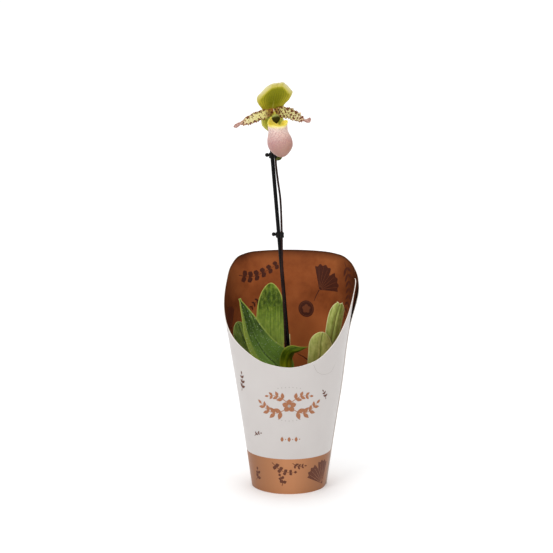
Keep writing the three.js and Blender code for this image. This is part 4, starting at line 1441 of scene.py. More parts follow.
@dataclass
class PotFilling:
    """The grow pot, the bark in it, and the base of the plant."""

    bed: float = 96.4
    reach: float = 48.0
    chips: int = 230
    crowns: tuple[tuple[float, float, float], ...] = ((-3.0, -15.0, 19.5), (23.0, 11.0, 15.5))

    def dress(self) -> None:
        """Gives the solids that stay their finish."""
        dress_node("grow_pot", POT_PLASTIC)
        dress_node("substrate", BARK)
        dress_node("rhizome_and_roots", ROOT_SKIN)

    def build_chips(self) -> Piece:
        """Strews small bark chips over the bed, clear of the two growths.

        Returns:
            The new object.
        """
        chance = random.Random(11)
        bm = bmesh.new()
        for i in range(self.chips):
            radius = self.reach * math.sqrt((i + 0.5) / self.chips)
            angle = i * GOLDEN_ANGLE
            x, y = radius * math.cos(angle), radius * math.sin(angle)
            size = Vector([chance.uniform(*span) for span in ((4, 9), (3, 6), (1.6, 3))])
            if any(math.hypot(x - cx, y - cy) < clear + size.x * 0.6 for cx, cy, clear in self.crowns):
                continue
            chip = bmesh.new()
            bmesh.ops.create_cube(chip, size=1.0)
            bmesh.ops.subdivide_edges(chip, edges=chip.edges[:], cuts=1, use_grid_fill=True)
            for vert in chip.verts:
                vert.co *= 1 - 0.25 * (vert.co.length > 0.8)
                vert.co += Vector([chance.uniform(-0.13, 0.13) for _ in range(3)])
            lean = Matrix.Rotation(chance.uniform(-0.5, 0.5), 4, "X")
            turn = Matrix.Rotation(chance.uniform(0, math.pi), 4, "Z")
            spot = Vector((x, y, self.bed + chance.uniform(0.0, 2.2))) * MM
            pose = Matrix.Translation(spot) @ turn @ lean @ Matrix.Diagonal((*(size * MM), 1.0))
            bmesh.ops.transform(chip, matrix=pose, verts=chip.verts)
            join(bm, chip)
        return finish_piece(bm, "bark_chips", "bark", [BARK], sharp=35)


# ---- blades


@dataclass
class Blade:
    """A leaf, sepal or petal: a thin surface that grows along its rib."""

    rib: Line
    half: Shape
    face: Callable[[float], Vector]
    fold: Shape = lambda t: 0.0
    wave: Callable[[float, float], float] = lambda t, s: 0.0
    jag: Callable[[float, float], float] = lambda t, s: 0.0
    tilt: float = 0.0
    notch: float = 0.0
    crowding: float = 0.0
    pose: Matrix = field(default_factory=Matrix)
    middle: float = 1.1
    edge: float = 0.7

    def share(self, v: float) -> float:
        """Gives the share of the rib at v, with the rows closer together towards the tip."""
        return mix(v, math.sin(v * math.pi / 2), self.crowding)

    def point(self, u: float, v: float) -> Vector:
        """Finds a point of the surface from u across and v along.

        Args:
            u: the share across.
            v: the share along.

        Returns:
            The point, in millimetres.
        """
        t, s = self.share(v), 2 * u - 1
        centre, along = self.rib.at(t)
        up = self.face(t)
        up = (up - along * up.dot(along)).normalized()
        across = along.cross(up).normalized()
        half = self.half(t)
        cut = self.notch * rise(t, 0.86, 1) * (1 - abs(s)) ** 1.5
        lift = self.fold(t) * half * abs(s) ** 1.7 + self.wave(t, s)
        aside, ahead = half * s + self.jag(t, s), self.tilt * half * s - cut
        return self.pose @ (centre + across * aside + along * ahead + up * lift)

    def measure(self, u: float, v: float) -> Vector:
        """Measures across, along and in from the margin.

        Args:
            u: the share across.
            v: the share along.

        Returns:
            The three measures.
        """
        t, s = self.share(v), 2 * u - 1
        half = self.half(t)
        inner = min(half * (1 - abs(s)), (1 - t) * self.rib.length)
        return Vector((half * s, t * self.rib.length, inner))

    def mesh(self, columns: int, rows: int) -> Mesh:
        """Makes the blade as a closed mesh, thinner towards its margin.

        Args:
            columns: faces across.
            rows: faces along.

        Returns:
            The closed mesh.
        """
        bm = bend_grid(columns, rows, self.point, self.measure)

        def wall(flat: Vector) -> float:
            """Thins the wall in the last millimetres before the margin."""
            return mix(self.edge * 0.55, self.middle, min(1.0, flat.z / 4.0) ** 0.6)

        thicken(bm, wall)
        return bm


@dataclass
class Leaf:
    """One strap leaf: a stalk that widens, and a blade with a channelled rib."""

    node: str
    slot: str
    rib: Points
    stalk: float
    widest: float
    peak: float
    blunt: float
    turning: tuple[tuple[float, float, float], tuple[float, float, float]]
    folds: tuple[float, float]
    skin: LeafSkin
    tip: float = 0.55
    notch: float = 0.0
    pleats: float = 0.0
    pleat_count: float = 1.5
    ripple: float = 0.35
    channel: float = 0.55

    def half(self, t: float) -> float:
        """Gives the half width at a share of the length.

        Args:
            t: the share of the length.

        Returns:
            The half width.
        """
        body = mix(self.stalk, self.widest, rise(t, 0.04, self.peak))
        past = max(0.0, (t - self.peak) / (1 - self.peak))
        return max(self.tip, body * (1 - past**self.blunt) ** (1 / math.sqrt(self.blunt)))

    def face(self, t: float) -> Vector:
        """Gives the way that the upper side looks."""
        start, end = (Vector(way) for way in self.turning)
        return start.lerp(end, rise(t, 0, 0.45))

    def wave(self, t: float, s: float) -> float:
        """Sinks the rib's channel, pleats the blade, and ripples its margin.

        Args:
            t: the share of the length.
            s: the share of the half width, -1 to 1.

        Returns:
            How far the surface stands up.
        """
        x = s * self.half(t)
        open_way = rise(t, 0.12, 0.4)
        channel = -self.channel * bump(x, 0.0, 1.1) * (1 - 0.7 * rise(t, 0.8, 1)) * open_way
        pleat = self.pleats * math.cos(2 * math.pi * self.pleat_count * s) * (1 - s * s)
        edge = self.ripple * math.sin(2 * math.pi * (2.6 * t + 0.2 * (s > 0))) * abs(s) ** 3
        return channel + (pleat + edge) * open_way * (1 - rise(t, 0.9, 1))

    def build(self) -> Piece:
        """Makes the leaf in place of its plain solid.

        Returns:
            The new object.
        """
        blade = Blade(
            Line(self.rib), self.half, self.face, lambda t: mix(*self.folds, rise(t, 0.05, 0.5)),
            self.wave, notch=self.notch, crowding=0.85, middle=1.5, edge=0.85,
        )
        name = self.node.replace("leaf", "strap_leaf")
        skins = [self.skin, self.skin, self.skin]
        return finish_piece(blade.mesh(34, 110), name, self.slot, skins, [self.node], sharp=70)


TALL_SKIN = LeafSkin(
    "mottled mid-green leaf", "#9EAA44", "#6C8426", "#30420A", "#A2AA50", "#4E661A", "#A6BE54",
    foot_span=(0.36, 0.62), block=3.6, streak=3.0, streaked=0.35, contrast=0.95,
    rib_strength=0.5, specks=0.2, painted_shade_span=(0.67, 0.81),
)
POINTED_SKIN = LeafSkin(
    "dark green channelled leaf", "#5E7634", "#3B5117", "#203207", "#8A9840", "#20330A", "#74983E",
    foot_span=(0.26, 0.56), foot_strength=0.75, block=5.0, streak=2.2, streaked=0.55, contrast=0.7,
    edge_width=0.8, specks=0.7, roughness=0.38, painted_lit_side=0.24, painted_shade_span=(0.84, 1.0),
)
# A darker copy of the green, as painted shade, for the leaves that lie in shadow at the back and low
# down.
SHADED_SKIN = LeafSkin(
    "shaded green leaf", "#84924A", "#657830", "#42561C", "#8A9450", "#1C260A", "#707E30",
    block=5.0, contrast=0.7, edge_width=0.7, specks=0.5,
)
OLIVE_SKIN = LeafSkin(
    "olive leaf", "#7A8816", "#5E700C", "#334A05", "#8A9234", "#4C6008", "#A4AC20",
    foot_span=(0.32, 0.5), foot_strength=0.85, block=4.0, streak=2.2, streaked=0.6, contrast=0.6,
    edge_width=0.45, roughness=0.4, painted_shade_span=(0.54, 1.0),
)
BROAD_SKIN = LeafSkin(
    "pale green leaf", "#CCD280", "#BAC26C", "#9AA652", "#DCDA98", "#66752E", "#B6C064",
    block=4.0, streak=2.5, contrast=0.5, edge_width=0.8, rib_strength=0.7, roughness=0.5,
)
# The darker foot is painted shade, where the lower parts lie in shadow behind other leaves.
PALE_SKIN = LeafSkin(
    "striped pale green leaf", "#CED482", "#B2BC66", "#84953F", "#DEDFA4", "#5E6E26", "#76843A",
    foot_span=(0.42, 0.64), foot_strength=0.7, block=4.0, streak=2.4, streaked=0.65, contrast=0.6,
    edge_width=0.6, roughness=0.5,
)

LEAVES = [
    Leaf(
        "leaf_tall", "leaf_mid_green",
        [(-3, -7.4, 96.3), (-8, -1, 122), (-16, 6, 146), (-20.6, 12, 170), (-20.8, 19, 205),
         (-20.6, 24, 233)],
        3.6, 16.6, 0.66, 2.7, ((0.1, -1, 0.1), (0, -1, 0.1)), (0.6, 0.14), TALL_SKIN,
        pleats=0.75, pleat_count=1.25,
    ),
    Leaf(
        "leaf_pointed", "leaf_dark_green",
        [(-10, -14, 96.3), (-9.6, -15.5, 122), (-12.1, -17, 142), (-28.1, -19.6, 160),
         (-39.6, -19.6, 180), (-47.5, -18, 200.6), (-56.2, -15.2, 222.4)],
        3.6, 19, 0.43, 1.3, ((0.7, -0.7, 0), (0.36, -0.9, 0.2)), (0.8, 0.4), POINTED_SKIN,
        tip=1.5, ripple=0.5,
    ),
    Leaf(
        "leaf_far_left", "leaf_dark_green",
        [(-12.6, -9.6, 96.6), (-21, -11, 122), (-38.6, -7.5, 150), (-51.2, -3, 172), (-59.3, 1, 192)],
        3.6, 14.2, 0.69, 2.65, ((0.8, -0.5, 0.1), (0.4, -0.85, 0.3)), (0.7, 0.22), SHADED_SKIN,
    ),
    Leaf(
        "leaf_curled", "leaf_olive",
        [(2, -20.5, 96.5), (-1.5, -22, 122), (-3, -23.5, 143.2), (-2.2, -26, 155.3), (2.4, -29, 163.6),
         (11.1, -28.5, 165.7), (20.8, -25, 168.5)],
        3.6, 7.7, 0.77, 1, ((-0.1, 1, 0), (-0.25, 0.85, 0.45)), (0.9, 0.4), OLIVE_SKIN,
        ripple=0.25,
    ),
    Leaf(
        "leaf_young", "leaf_pale_green",
        [(6, -9, 96.4), (9.2, -2, 109), (7.8, 5, 121), (-1, 10.5, 145), (0.8, 14, 174.5)],
        2.2, 3.4, 0.6, 1.7, ((-0.5, -0.85, 0), (-0.2, -1, 0.1)), (0.8, 0.35), PALE_SKIN,
        ripple=0.15,
    ),
    Leaf(
        "leaf_broad_right", "leaf_pale_green",
        [(17.8, 5.4, 96.9), (23.4, 2, 120), (33.1, -1, 140.7), (36.1, -3, 155.3), (36.4, -4, 168.3),
         (38.7, -4, 181.1)],
        3.2, 13.9, 0.7, 2.95, ((0, 1, 0), (-0.1, 1, 0.1)), (0.8, 0.16), BROAD_SKIN,
        pleats=0.3, pleat_count=1.0, channel=-0.5,
    ),
    Leaf(
        "leaf_notched_right", "leaf_pale_green",
        [(28.2, 9, 97), (35.6, 8.4, 122), (43.9, 4.5, 150.4), (49.6, 1, 174.7), (53.6, -2, 197.6),
         (58.4, -4, 215.7)],
        3.2, 8.8, 0.81, 3.2, ((-0.3, 0.95, 0), (-0.1, 1, 0.1)), (0.8, 0.2), PALE_SKIN,
        tip=3.4, notch=1.8, pleats=0.35, channel=-0.5,
    ),
    Leaf(
        "leaf_low_back", "leaf_dark_green",
        [(23.5, 16.2, 96.3), (25, 23, 112), (27, 34, 124), (29, 43, 127)],
        3.6, 8.5, 0.6, 2.2, ((0, -1, 0.1), (0, -0.5, 1)), (0.8, 0.25), SHADED_SKIN,
    ),
    Leaf(
        "leaf_low_front", "leaf_dark_green",
        [(-6.5, -24, 96.3), (-5, -29, 110), (-1, -39, 119), (4, -50, 119)],
        3.6, 8.5, 0.6, 2.2, ((0, 1, 0.1), (0, 0.4, 1)), (0.8, 0.25), SHADED_SKIN,
    ),
]


# ---- the flower


@dataclass
class Flower:
    """The open flower, made about its own centre and turned to its place."""

    centre: tuple[float, float, float] = (-17.8, -21, 432.6)
    face_up: float = 9.0
    turn: float = 16.0
    roll: float = 6.0
    warts: int = 240
    hairs: int = 320
    chance: random.Random = field(default_factory=lambda: random.Random(5))

    def pose(self) -> Matrix:
        """Gives the matrix from the flower's frame to the whole's, in millimetres.

        Returns:
            The matrix.
        """
        return (
            Matrix.Translation(self.centre)
            @ Matrix.Rotation(math.radians(self.turn), 4, "Z")
            @ Matrix.Rotation(math.radians(-self.roll), 4, "Y")
            @ Matrix.Rotation(math.radians(-self.face_up), 4, "X")
        )

    def placed(self, points: Points) -> list[Vector]:
        """Takes points from the flower's frame to the whole's."""
        return [self.pose() @ Vector(p) for p in points]

    def build_hood(self) -> Piece:
        """Makes the dorsal sepal: a cupped hood with its margins bent back.

        Returns:
            The new object.
        """
        half = through([
            (0, 7.5), (0.08, 11.2), (0.22, 14.5), (0.34, 17.4), (0.45, 19.5), (0.55, 20), (0.66, 17.6),
            (0.78, 13.6), (0.89, 9.6), (0.96, 7.6), (1, 4.4),
        ])

        def wave(t: float, s: float) -> float:
            """Cups the hood, bends its margins back and keels its tip.

            Args:
                t: the share of the length.
                s: the share of the half width, -1 to 1.

            Returns:
                How far the surface stands up.
            """
            cup = 4.2 * s * s * math.sin(math.pi * min(1.0, t * 1.06)) * rise(t, 0, 0.3)
            back = 5 * s**4 * rise(t, 0.05, 0.5) * (1 - 0.8 * rise(t, 0.8, 1))
            flutter = 0.3 * math.sin(2 * math.pi * (3.1 * t + 0.3 * (s > 0))) * abs(s) ** 3
            keel = 0.5 * bump(s, 0.0, 0.09) * (0.3 + rise(t, 0.6, 1))
            return cup - back + flutter - keel

        blade = Blade(
            Line([
                (0.8, 5.9, 4.2), (1.8, 4.6, 8.6), (2.7, -0.8, 14.8), (3.8, -6.6, 21.6),
                (5.2, -11.6, 28), (6.5, -15.4, 33.4),
            ]),
            half, lambda t: Vector((0.02, -1, 0.1)).lerp(Vector((0, -0.8, -0.55)), t), wave=wave,
            tilt=0.2, crowding=0.35, pose=self.pose(),
        )
        hood = HoodTissue("olive hood tissue")
        return finish_piece(
            blade.mesh(72, 80), "hood_sepal", "dorsal_tissue", [hood] * 3, ["dorsal_sepal"], sharp=80
        )

    def build_lower_sepal(self) -> Piece:
        """Makes the joined lower sepals behind the slipper.

        Returns:
            The new object.
        """
        half = through([
            (0, 8), (0.14, 11.6), (0.25, 12.8), (0.4, 12.9), (0.57, 11), (0.76, 7.4), (0.92, 3.6),
            (1, 0.8),
        ])
        blade = Blade(
            Line([
                (-0.6, 4.6, 0.4), (-0.7, 5.3, -2.9), (-0.8, 6, -6), (-0.6, 6, -12), (-0.3, 5, -17.6),
                (0, 3.4, -22.6),
            ]),
            half, lambda t: Vector((0, -1, 0.05)), lambda t: 0.14,
            lambda t, s: -0.4 * bump(s, 0.0, 0.12) + 0.3 * math.sin(7 * t + 2 * s) * s * s,
            crowding=0.4, pose=self.pose(),
        )
        tissue = LowerSepalTissue("yellow-green sepal tissue")
        return finish_piece(
            blade.mesh(44, 60), "lower_sepal", "synsepal_tissue", [tissue] * 3, ["synsepal"], sharp=80
        )

    def petal_blade(self, side: int, breadth: float, rib: Points) -> Blade:
        """Lays out one petal.

        Args:
            side: -1 for the left petal and 1 for the right one.
            breadth: times the common half width.
            rib: the points of its rib.

        Returns:
            The petal's surface.
        """
        width = through([
            (0, 2), (0.05, 3.3), (0.13, 5.2), (0.27, 5.6), (0.45, 5.4), (0.62, 4.7), (0.74, 2.9),
            (0.81, 1.1), (0.89, 2.4), (0.95, 2.1), (1, 0.7),
        ])

        def jag(t: float, s: float) -> float:
            """Cuts each margin into uneven lobes, out of step with the other.

            Args:
                t: the share of the length.
                s: the share of the half width, -1 to 1.

            Returns:
                How far the margin moves sideways.
            """
            late = 1.7 * side if s > 0 else 0.4
            lobes = math.sin(2 * math.pi * 7.1 * t + late)
            lobes += 0.6 * math.sin(2 * math.pi * 12.3 * t - 2 * late)
            teeth = 0.35 * math.sin(2 * math.pi * 27 * t + late)
            calm = rise(t, 0.04, 0.14) * (1 - 0.6 * rise(t, 0.76, 0.84)) * (1 - rise(t, 0.93, 1.0))
            return math.copysign(0.9 * (lobes + teeth) * calm * abs(s) ** 3, s)

        def face(t: float) -> Vector:
            """Twists the outer third, so the end shows its edge."""
            twist = side * (0.9 if side > 0 else 0.35) * rise(t, 0.62, 1)
            return Vector((0.1 * side, -math.cos(twist), math.sin(twist)))

        def wave(t: float, s: float) -> float:
            """Ruffles the margins, each side out of step with the other.

            Args:
                t: the share of the length.
                s: the share of the half width, -1 to 1.

            Returns:
                How far the surface stands up.
            """
            late = 0.35 if s > 0 else 0.0
            slow = 1.15 * math.sin(2 * math.pi * (9.5 * t + late)) * abs(s) ** 2.5
            quick = 0.45 * math.sin(2 * math.pi * (23 * t + late)) * abs(s) ** 4
            return (slow + quick) * rise(t, 0.03, 0.15) * (1 - rise(t, 0.74, 0.84))

        return Blade(
            Line(rib), lambda t: width(t) * breadth, face, lambda t: -0.12, wave, jag,
            pose=self.pose(), middle=1.1, edge=0.75,
        )

    def build_petals(self) -> None:
        """Makes both petals, with the dark warts and hairs of their margins."""
        ribs = {
            "left": (-1, 0.84, [
                (-1.3, 0.3, 4.4), (-5, 0.8, 2.6), (-11.5, 2.4, 1.3), (-17, 3.9, 0.3),
                (-23.2, 5.3, -1.6), (-28.4, 6.5, -3.2), (-33, 7.6, -4.6), (-37.5, 8.5, -5),
                (-41.6, 9.6, -6.8), (-44.6, 10.3, -7.6),
            ]),
            "right": (1, 1.0, [
                (1.3, 0.3, 4.4), (5, 0.8, 2.6), (11.8, 2.2, 0.9), (19.4, 4.4, -0.9), (26.9, 6.2, -5),
                (34.5, 7.9, -9.6), (38.6, 8.8, -12), (42, 9.7, -12), (44.6, 10.2, -9.2),
            ]),
        }
        tissues = {
            "left": PetalTissue("spotted petal tissue"),
            "right": PetalTissue("thickly spotted petal tissue", spotting=0.18),
        }
        wart = Down("maroon wart and hair", "#B06A3E", "#6A2E16")
        for name, (side, breadth, rib) in ribs.items():
            blade = self.petal_blade(side, breadth, rib)
            finish_piece(
                blade.mesh(28, 260), f"spotted_petal_{name}", "petal_tissue", [tissues[name]] * 3,
                [f"petal_{name}"], sharp=80,
            )
            finish_piece(self.fringe(blade), f"petal_fringe_{name}", "petal_tissue", [wart])

    def fringe(self, blade: Blade) -> Mesh:
        """Sets warts and hairs along both margins of a petal.

        Args:
            blade: the petal.

        Returns:
            The warts and hairs.
        """
        bm = bmesh.new()
        draw = self.chance.uniform
        for i in range(self.warts):
            v = draw(0.01, 0.97)
            edge = self.chance.choice((0.0, 1.0))
            u = abs(edge - draw(0.0, 0.05))
            here = blade.point(u, v)
            out = (here - blade.point(0.5, v)).normalized()
            normal = (blade.point(u, v + 0.004) - here).cross(out).normalized() * (1 if edge else -1)
            if i % 3 == 0:
                bmesh.ops.create_icosphere(
                    bm, subdivisions=1, radius=draw(0.28, 0.5) * MM,
                    matrix=Matrix.Translation((here - out * 0.3) * MM),
                )
            way = out * draw(0.5, 1.2) + normal * draw(-0.6, 0.6)
            add_hair(bm, here - out * 0.15, way, radius=0.09)
        return bm

    def build_slipper(self) -> Piece:
        """Makes the pouch, with its side lobes rolled out and a small notch in its lip.

        Returns:
            The new object.
        """
        foot = -48.4
        half_width = through([
            (-48, 3.1), (-46.2, 5.8), (-43, 9.4), (-39.8, 12), (-36.4, 13.6), (-32.8, 14.1),
            (-28, 13.6), (-23.4, 12.1), (-19, 11), (-14, 11.1), (-9, 11.2), (-2, 9),
        ])
        half_depth = through([
            (-48, 2), (-46.2, 5.2), (-43, 8.2), (-38.4, 10.8), (-33, 12), (-26.4, 11), (-19, 9.4),
            (-12, 9.2), (-2, 8.8),
        ])
        middle = through([(-48, -14), (-38, -13.6), (-29, -12.4), (-19, -10.2), (-8, -9.2), (-2, -9)])
        lean = through([
            (-48, -0.3), (-40, -0.3), (-32, -0.5), (-24, -0.5), (-16, 0.2), (-8, 1), (-2, 0.4),
        ])
        rim = through([
            (-180, -5.2), (-166, -3.6), (-150, -2.4), (-132, -4.4), (-100, -8), (-84, -9.6), (-60, -11),
            (-40, -12.1), (-20, -13.1), (0, -13.9), (22, -13.7), (42, -12.6), (58, -10.6), (72, -9.4),
            (88, -8.6), (104, -8), (120, -8.1), (132, -8.6), (142, -10.5), (150, -12.4), (158, -12),
            (166, -7.4), (174, -4.8), (180, -5.2),
        ])
        inset = 0.45
        pose = self.pose()

        def local(u: float, v: float) -> Vector:
            """Finds the wall's middle at u round the pouch and v up it.

            Args:
                u: the share round it.
                v: the share up.

            Returns:
                The point, in the flower's frame.
            """
            bearing = 360 * u - 180
            wide = abs(bearing)
            share = mix(v, math.sin(v * math.pi / 2), 0.35) * mix(0.35, 1.0, math.sqrt(v))
            z = mix(foot + inset, rim(bearing), share)
            # Near the rim the ears and the lip stand out, and the back draws in.
            near = rise(share, 0.86, 1)
            ear = near * 0.4 * bump(wide, 74, 20)
            lip = near * 0.4 * bump(bearing, 0, 50)
            reach = ear + lip - inset
            claw = 1 - 0.16 * near * rise(wide, 120, 160)
            closing = rise(share, -0.001, 0.012)
            angle = math.radians(bearing)
            # The last millimetre of the side lobes rolls over outwards.
            curl = rise(share, 0.93, 1) * bump(wide, 74, 24)
            x = lean(z) + closing * (half_width(z) * claw + reach + 0.4 * curl) * math.sin(angle)
            y = middle(z) - closing * (half_depth(z) + reach + 0.3 * curl) * math.cos(angle)
            # A fine seam runs down the middle of the front.
            seam = 0.25 * bump(bearing, 0, 2.5) * (1 - near) * closing
            return Vector((x, y + seam, z - 0.5 * curl * rise(share, 0.97, 1)))

        def measure(u: float, v: float) -> Vector:
            """Measures across, the height, and down from the rim."""
            point = local(u, v)
            return Vector((point.x, point.z, rim(360 * u - 180) - point.z + 0.5))

        bm = bend_grid(160, 110, lambda u, v: pose @ local(u, v), measure, wraps=True)
        # The wall thins in the last three millimetres below the rim.
        thicken(bm, lambda measures: mix(0.55, 0.9, min(1.0, measures.z / 3)))
        skin = PouchTissue("waxy slipper tissue")
        lining = PouchTissue("freckled slipper lining", inside=True)
        finishes = [skin, lining, lining]
        return finish_piece(bm, "slipper_pouch", "pouch_tissue", finishes, ["pouch"], sharp=80)

    def build_column(self) -> Piece:
        """Makes the column, the pale boss over the shield, and the joined bases of the petals.

        Returns:
            The new object.
        """
        line = Line(self.placed([(0, 6.2, 0.2), (0, 0, -1.2), (0, -6.4, -2.8)]))
        bm = round_limb(line, lambda t: 2.2 * (1 - 0.12 * t), 28, 24)
        boss = Line(self.placed([(1, -0.2, 6.4), (0.6, -2.6, 3.6), (0.2, -6.2, 0.8), (0, -7.2, -1.2)]))
        swell = through([(0, 0.3), (0.2, 0.65), (0.6, 1.0), (0.85, 1.3), (1, 0.5)])
        join(bm, round_limb(boss, swell, 16, 20), 1)
        bases = Blade(
            Line([(0.9, 2.6, 6.6), (0.6, 1.9, 4.4), (0.2, 1.7, 1.6), (0, 1.9, -3), (0, 2.6, -6.4)]),
            through([(0, 3.4), (0.2, 6.4), (0.5, 7.4), (0.8, 7.2), (1, 5.2)]),
            lambda t: Vector((0, -1, 0.1)), lambda t: -0.3, pose=self.pose(),
        )
        join(bm, bases.mesh(20, 24), 2)
        flank = FlowerWax("yellow-green column wax", "#B9B040", "#B4B040", "#A8AC38", 0.6, 0.45)
        pale = FlowerWax("pale boss wax", "#DCC49A", "#C2B84C", "#C2B84C", 0.5, 0.45)
        rusty = FlowerWax("joined petal bases", "#B06C30", "#B2B64E", "#B2B64E", 0.56, 0.5)
        return finish_piece(bm, "column_and_boss", "column_tissue", [flank, pale, rusty], ["column"])

    def build_shield(self) -> Piece:
        """Makes the staminode: a domed dark shield, pointed below.

        Returns:
            The new object.
        """
        half = through([(0, 2.6), (0.12, 4), (0.35, 4.6), (0.62, 4), (0.85, 2.1), (1, 0.6)])
        blade = Blade(
            Line([(0, -8, -0.8), (0, -9.3, -3.8), (0, -9.6, -7), (0, -8.8, -10.8)]), half,
            lambda t: Vector((0, -1, 0)), lambda t: -0.28,
            lambda t, s: 0.35 * (1 - s * s) * math.sin(math.pi * t), crowding=0.5, pose=self.pose(),
            middle=1.5, edge=0.9,
        )
        wax = FlowerWax("dark green shield wax", "#A8AC5C", "#332F04", "#9C9A3A", 0.17, 0.3)
        return finish_piece(
            blade.mesh(28, 34), "dark_shield", "staminode_tissue", [wax] * 3, ["staminode"], sharp=80
        )

    def build_centre_down(self) -> Piece:
        """Sets the short brown down on the petal bases and round the column.

        Returns:
            The new object.
        """
        bm = bmesh.new()
        draw = self.chance.uniform
        pose = self.pose()
        turn = pose.to_3x3()
        for _ in range(self.hairs):
            side = self.chance.choice((-1, 1))
            x = side * draw(0.2, 9)
            z = draw(-1.2, 4.8) - 0.05 * abs(x)
            y = 0.4 - 1.1 * bump(x, 0, 5)
            way = Vector((draw(-0.5, 0.5), -1, draw(-0.4, 0.8)))
            way = way.normalized() * draw(0.9, 1.7)
            add_hair(bm, pose @ Vector((x, y, z)), turn @ way, radius=0.13)
        down = Down("rust-brown down", "#C48A66", "#74321E")
        return finish_piece(bm, "centre_down", "petal_tissue", [down])


# ---- the flower stem


@dataclass
class Scape:
    """The downy stem, the bract and bud at its joint, and the neck to the flower."""

    RADIUS = 1.2

    chance: random.Random = field(default_factory=lambda: random.Random(17))

    def stem_line(self) -> Line:
        """Gives the stem's middle.

        Returns:
            The line.
        """
        return Line([
            (-1, -12, 96.3), (-0.8, -8.2, 118), (-2.2, -5.2, 142), (-4, -4.1, 167), (-5.2, -4, 196),
            (-7.2, -3.9, 236), (-7.9, -3.9, 262), (-8.2, -3.9, 290), (-8.9, -3.9, 316),
            (-10, -3.9, 336), (-13, -3.9, 358), (-14.9, -4, 375), (-15.6, -4.2, 389.4),
        ])

    def neck_line(self, flower: Flower) -> Line:
        """Gives the neck's middle, from the stem's end to the back of the flower."""
        rise_up = [(-15.63, -4.2, 389.8), (-15.9, -3.4, 398), (-15.8, -1, 410), (-15.4, -1.6, 422)]
        return Line([*rise_up, *flower.placed([(0, 12, 0), (0, 7.1, 0.2)])])

    def down_on(self, line: Line, girth: Shape, count: int, length: float, start: float) -> Mesh:
        """Covers a limb with short hairs.

        Args:
            line: the limb's middle.
            girth: its radius.
            count: how many hairs.
            length: the longest hair, in millimetres.
            start: the share of the line where the hairs begin.

        Returns:
            The hairs.
        """
        bm = bmesh.new()
        draw = self.chance.uniform
        for _ in range(count):
            t = draw(start, 0.99)
            centre, along = line.at(t)
            turn = Matrix.Rotation(draw(0, 2 * math.pi), 3, along)
            out = turn @ along.orthogonal().normalized()
            way = (out + along * draw(-0.2, 0.7)).normalized()
            reach = draw(0.5, 1.0) * length
            add_hair(bm, centre + out * girth(t) * 0.9, way * reach, radius=0.07)
        return bm

    def build(self, flower: Flower) -> None:
        """Makes the stem, the neck, the bract and the bud, and their down.

        Args:
            flower: the flower that the neck ends at.
        """
        stem = self.stem_line()
        nodes = (0.13, 0.47)

        def girth(t: float) -> float:
            """Swells a little at the stem's joints."""
            return self.RADIUS * (1 + 0.16 * sum(bump(t, place, 0.006) for place in nodes))

        bm = round_limb(stem, girth, 20, 220)
        finish_piece(bm, "downy_stem", "scape_skin", [STEM_SKIN], ["scape"])
        neck = self.neck_line(flower)
        swell = through([(0, 1.4), (0.25, 1.7), (0.6, 2.1), (0.85, 2), (1, 3.7)])
        bm = round_limb(neck, swell, 24, 60)
        finish_piece(bm, "neck_to_flower", "scape_skin", [STEM_SKIN], ["ovary"])
        down = self.down_on(stem, girth, 1500, 0.75, 0.2)
        join(down, self.down_on(neck, swell, 500, 0.7, 0.02))
        finish_piece(down, "stem_down", "scape_skin", [STEM_DOWN])
        self.build_bract()
        self.build_bud()

    def build_bract(self) -> Piece:
        """Makes the keeled sheath that holds the bud.

        Returns:
            The new object.
        """
        half = through([(0, 1.8), (0.3, 3.4), (0.6, 3.6), (0.85, 2.2), (1, 0.6)])
        blade = Blade(
            Line([
                (-14.2, -6.6, 379.4), (-12, -8.6, 379.8), (-10, -10, 381.4), (-8.4, -11.2, 385.5),
                (-7.4, -11.4, 391.5),
            ]),
            half, lambda t: Vector((-0.4, 0.7, 0.8)).lerp(Vector((-0.6, 1, 0.2)), t), lambda t: 0.75,
            crowding=0.4,
        )
        bm = blade.mesh(24, 40)
        return finish_piece(bm, "keeled_bract", "bract_skin", [BRACT_SKIN] * 3, ["bract"], sharp=80)

    def build_bud(self) -> Piece:
        """Makes the next bud, furred like the stem.

        Returns:
            The new object.
        """
        line = Line([
            (-12.7, -6.4, 381.8), (-11.4, -7.5, 384.5), (-10.1, -8.5, 389.2), (-9.5, -8.7, 394.6),
        ])
        girth = through([(0, 0.8), (0.35, 2), (0.65, 2.1), (0.9, 1.2), (1, 0.4)])
        bm = round_limb(line, girth, 20, 30)
        join(bm, self.down_on(line, girth, 160, 0.7, 0.1))
        return finish_piece(bm, "closed_bud", "scape_skin", [BUD_SKIN], ["bud"])


# ---- the stake and its clips


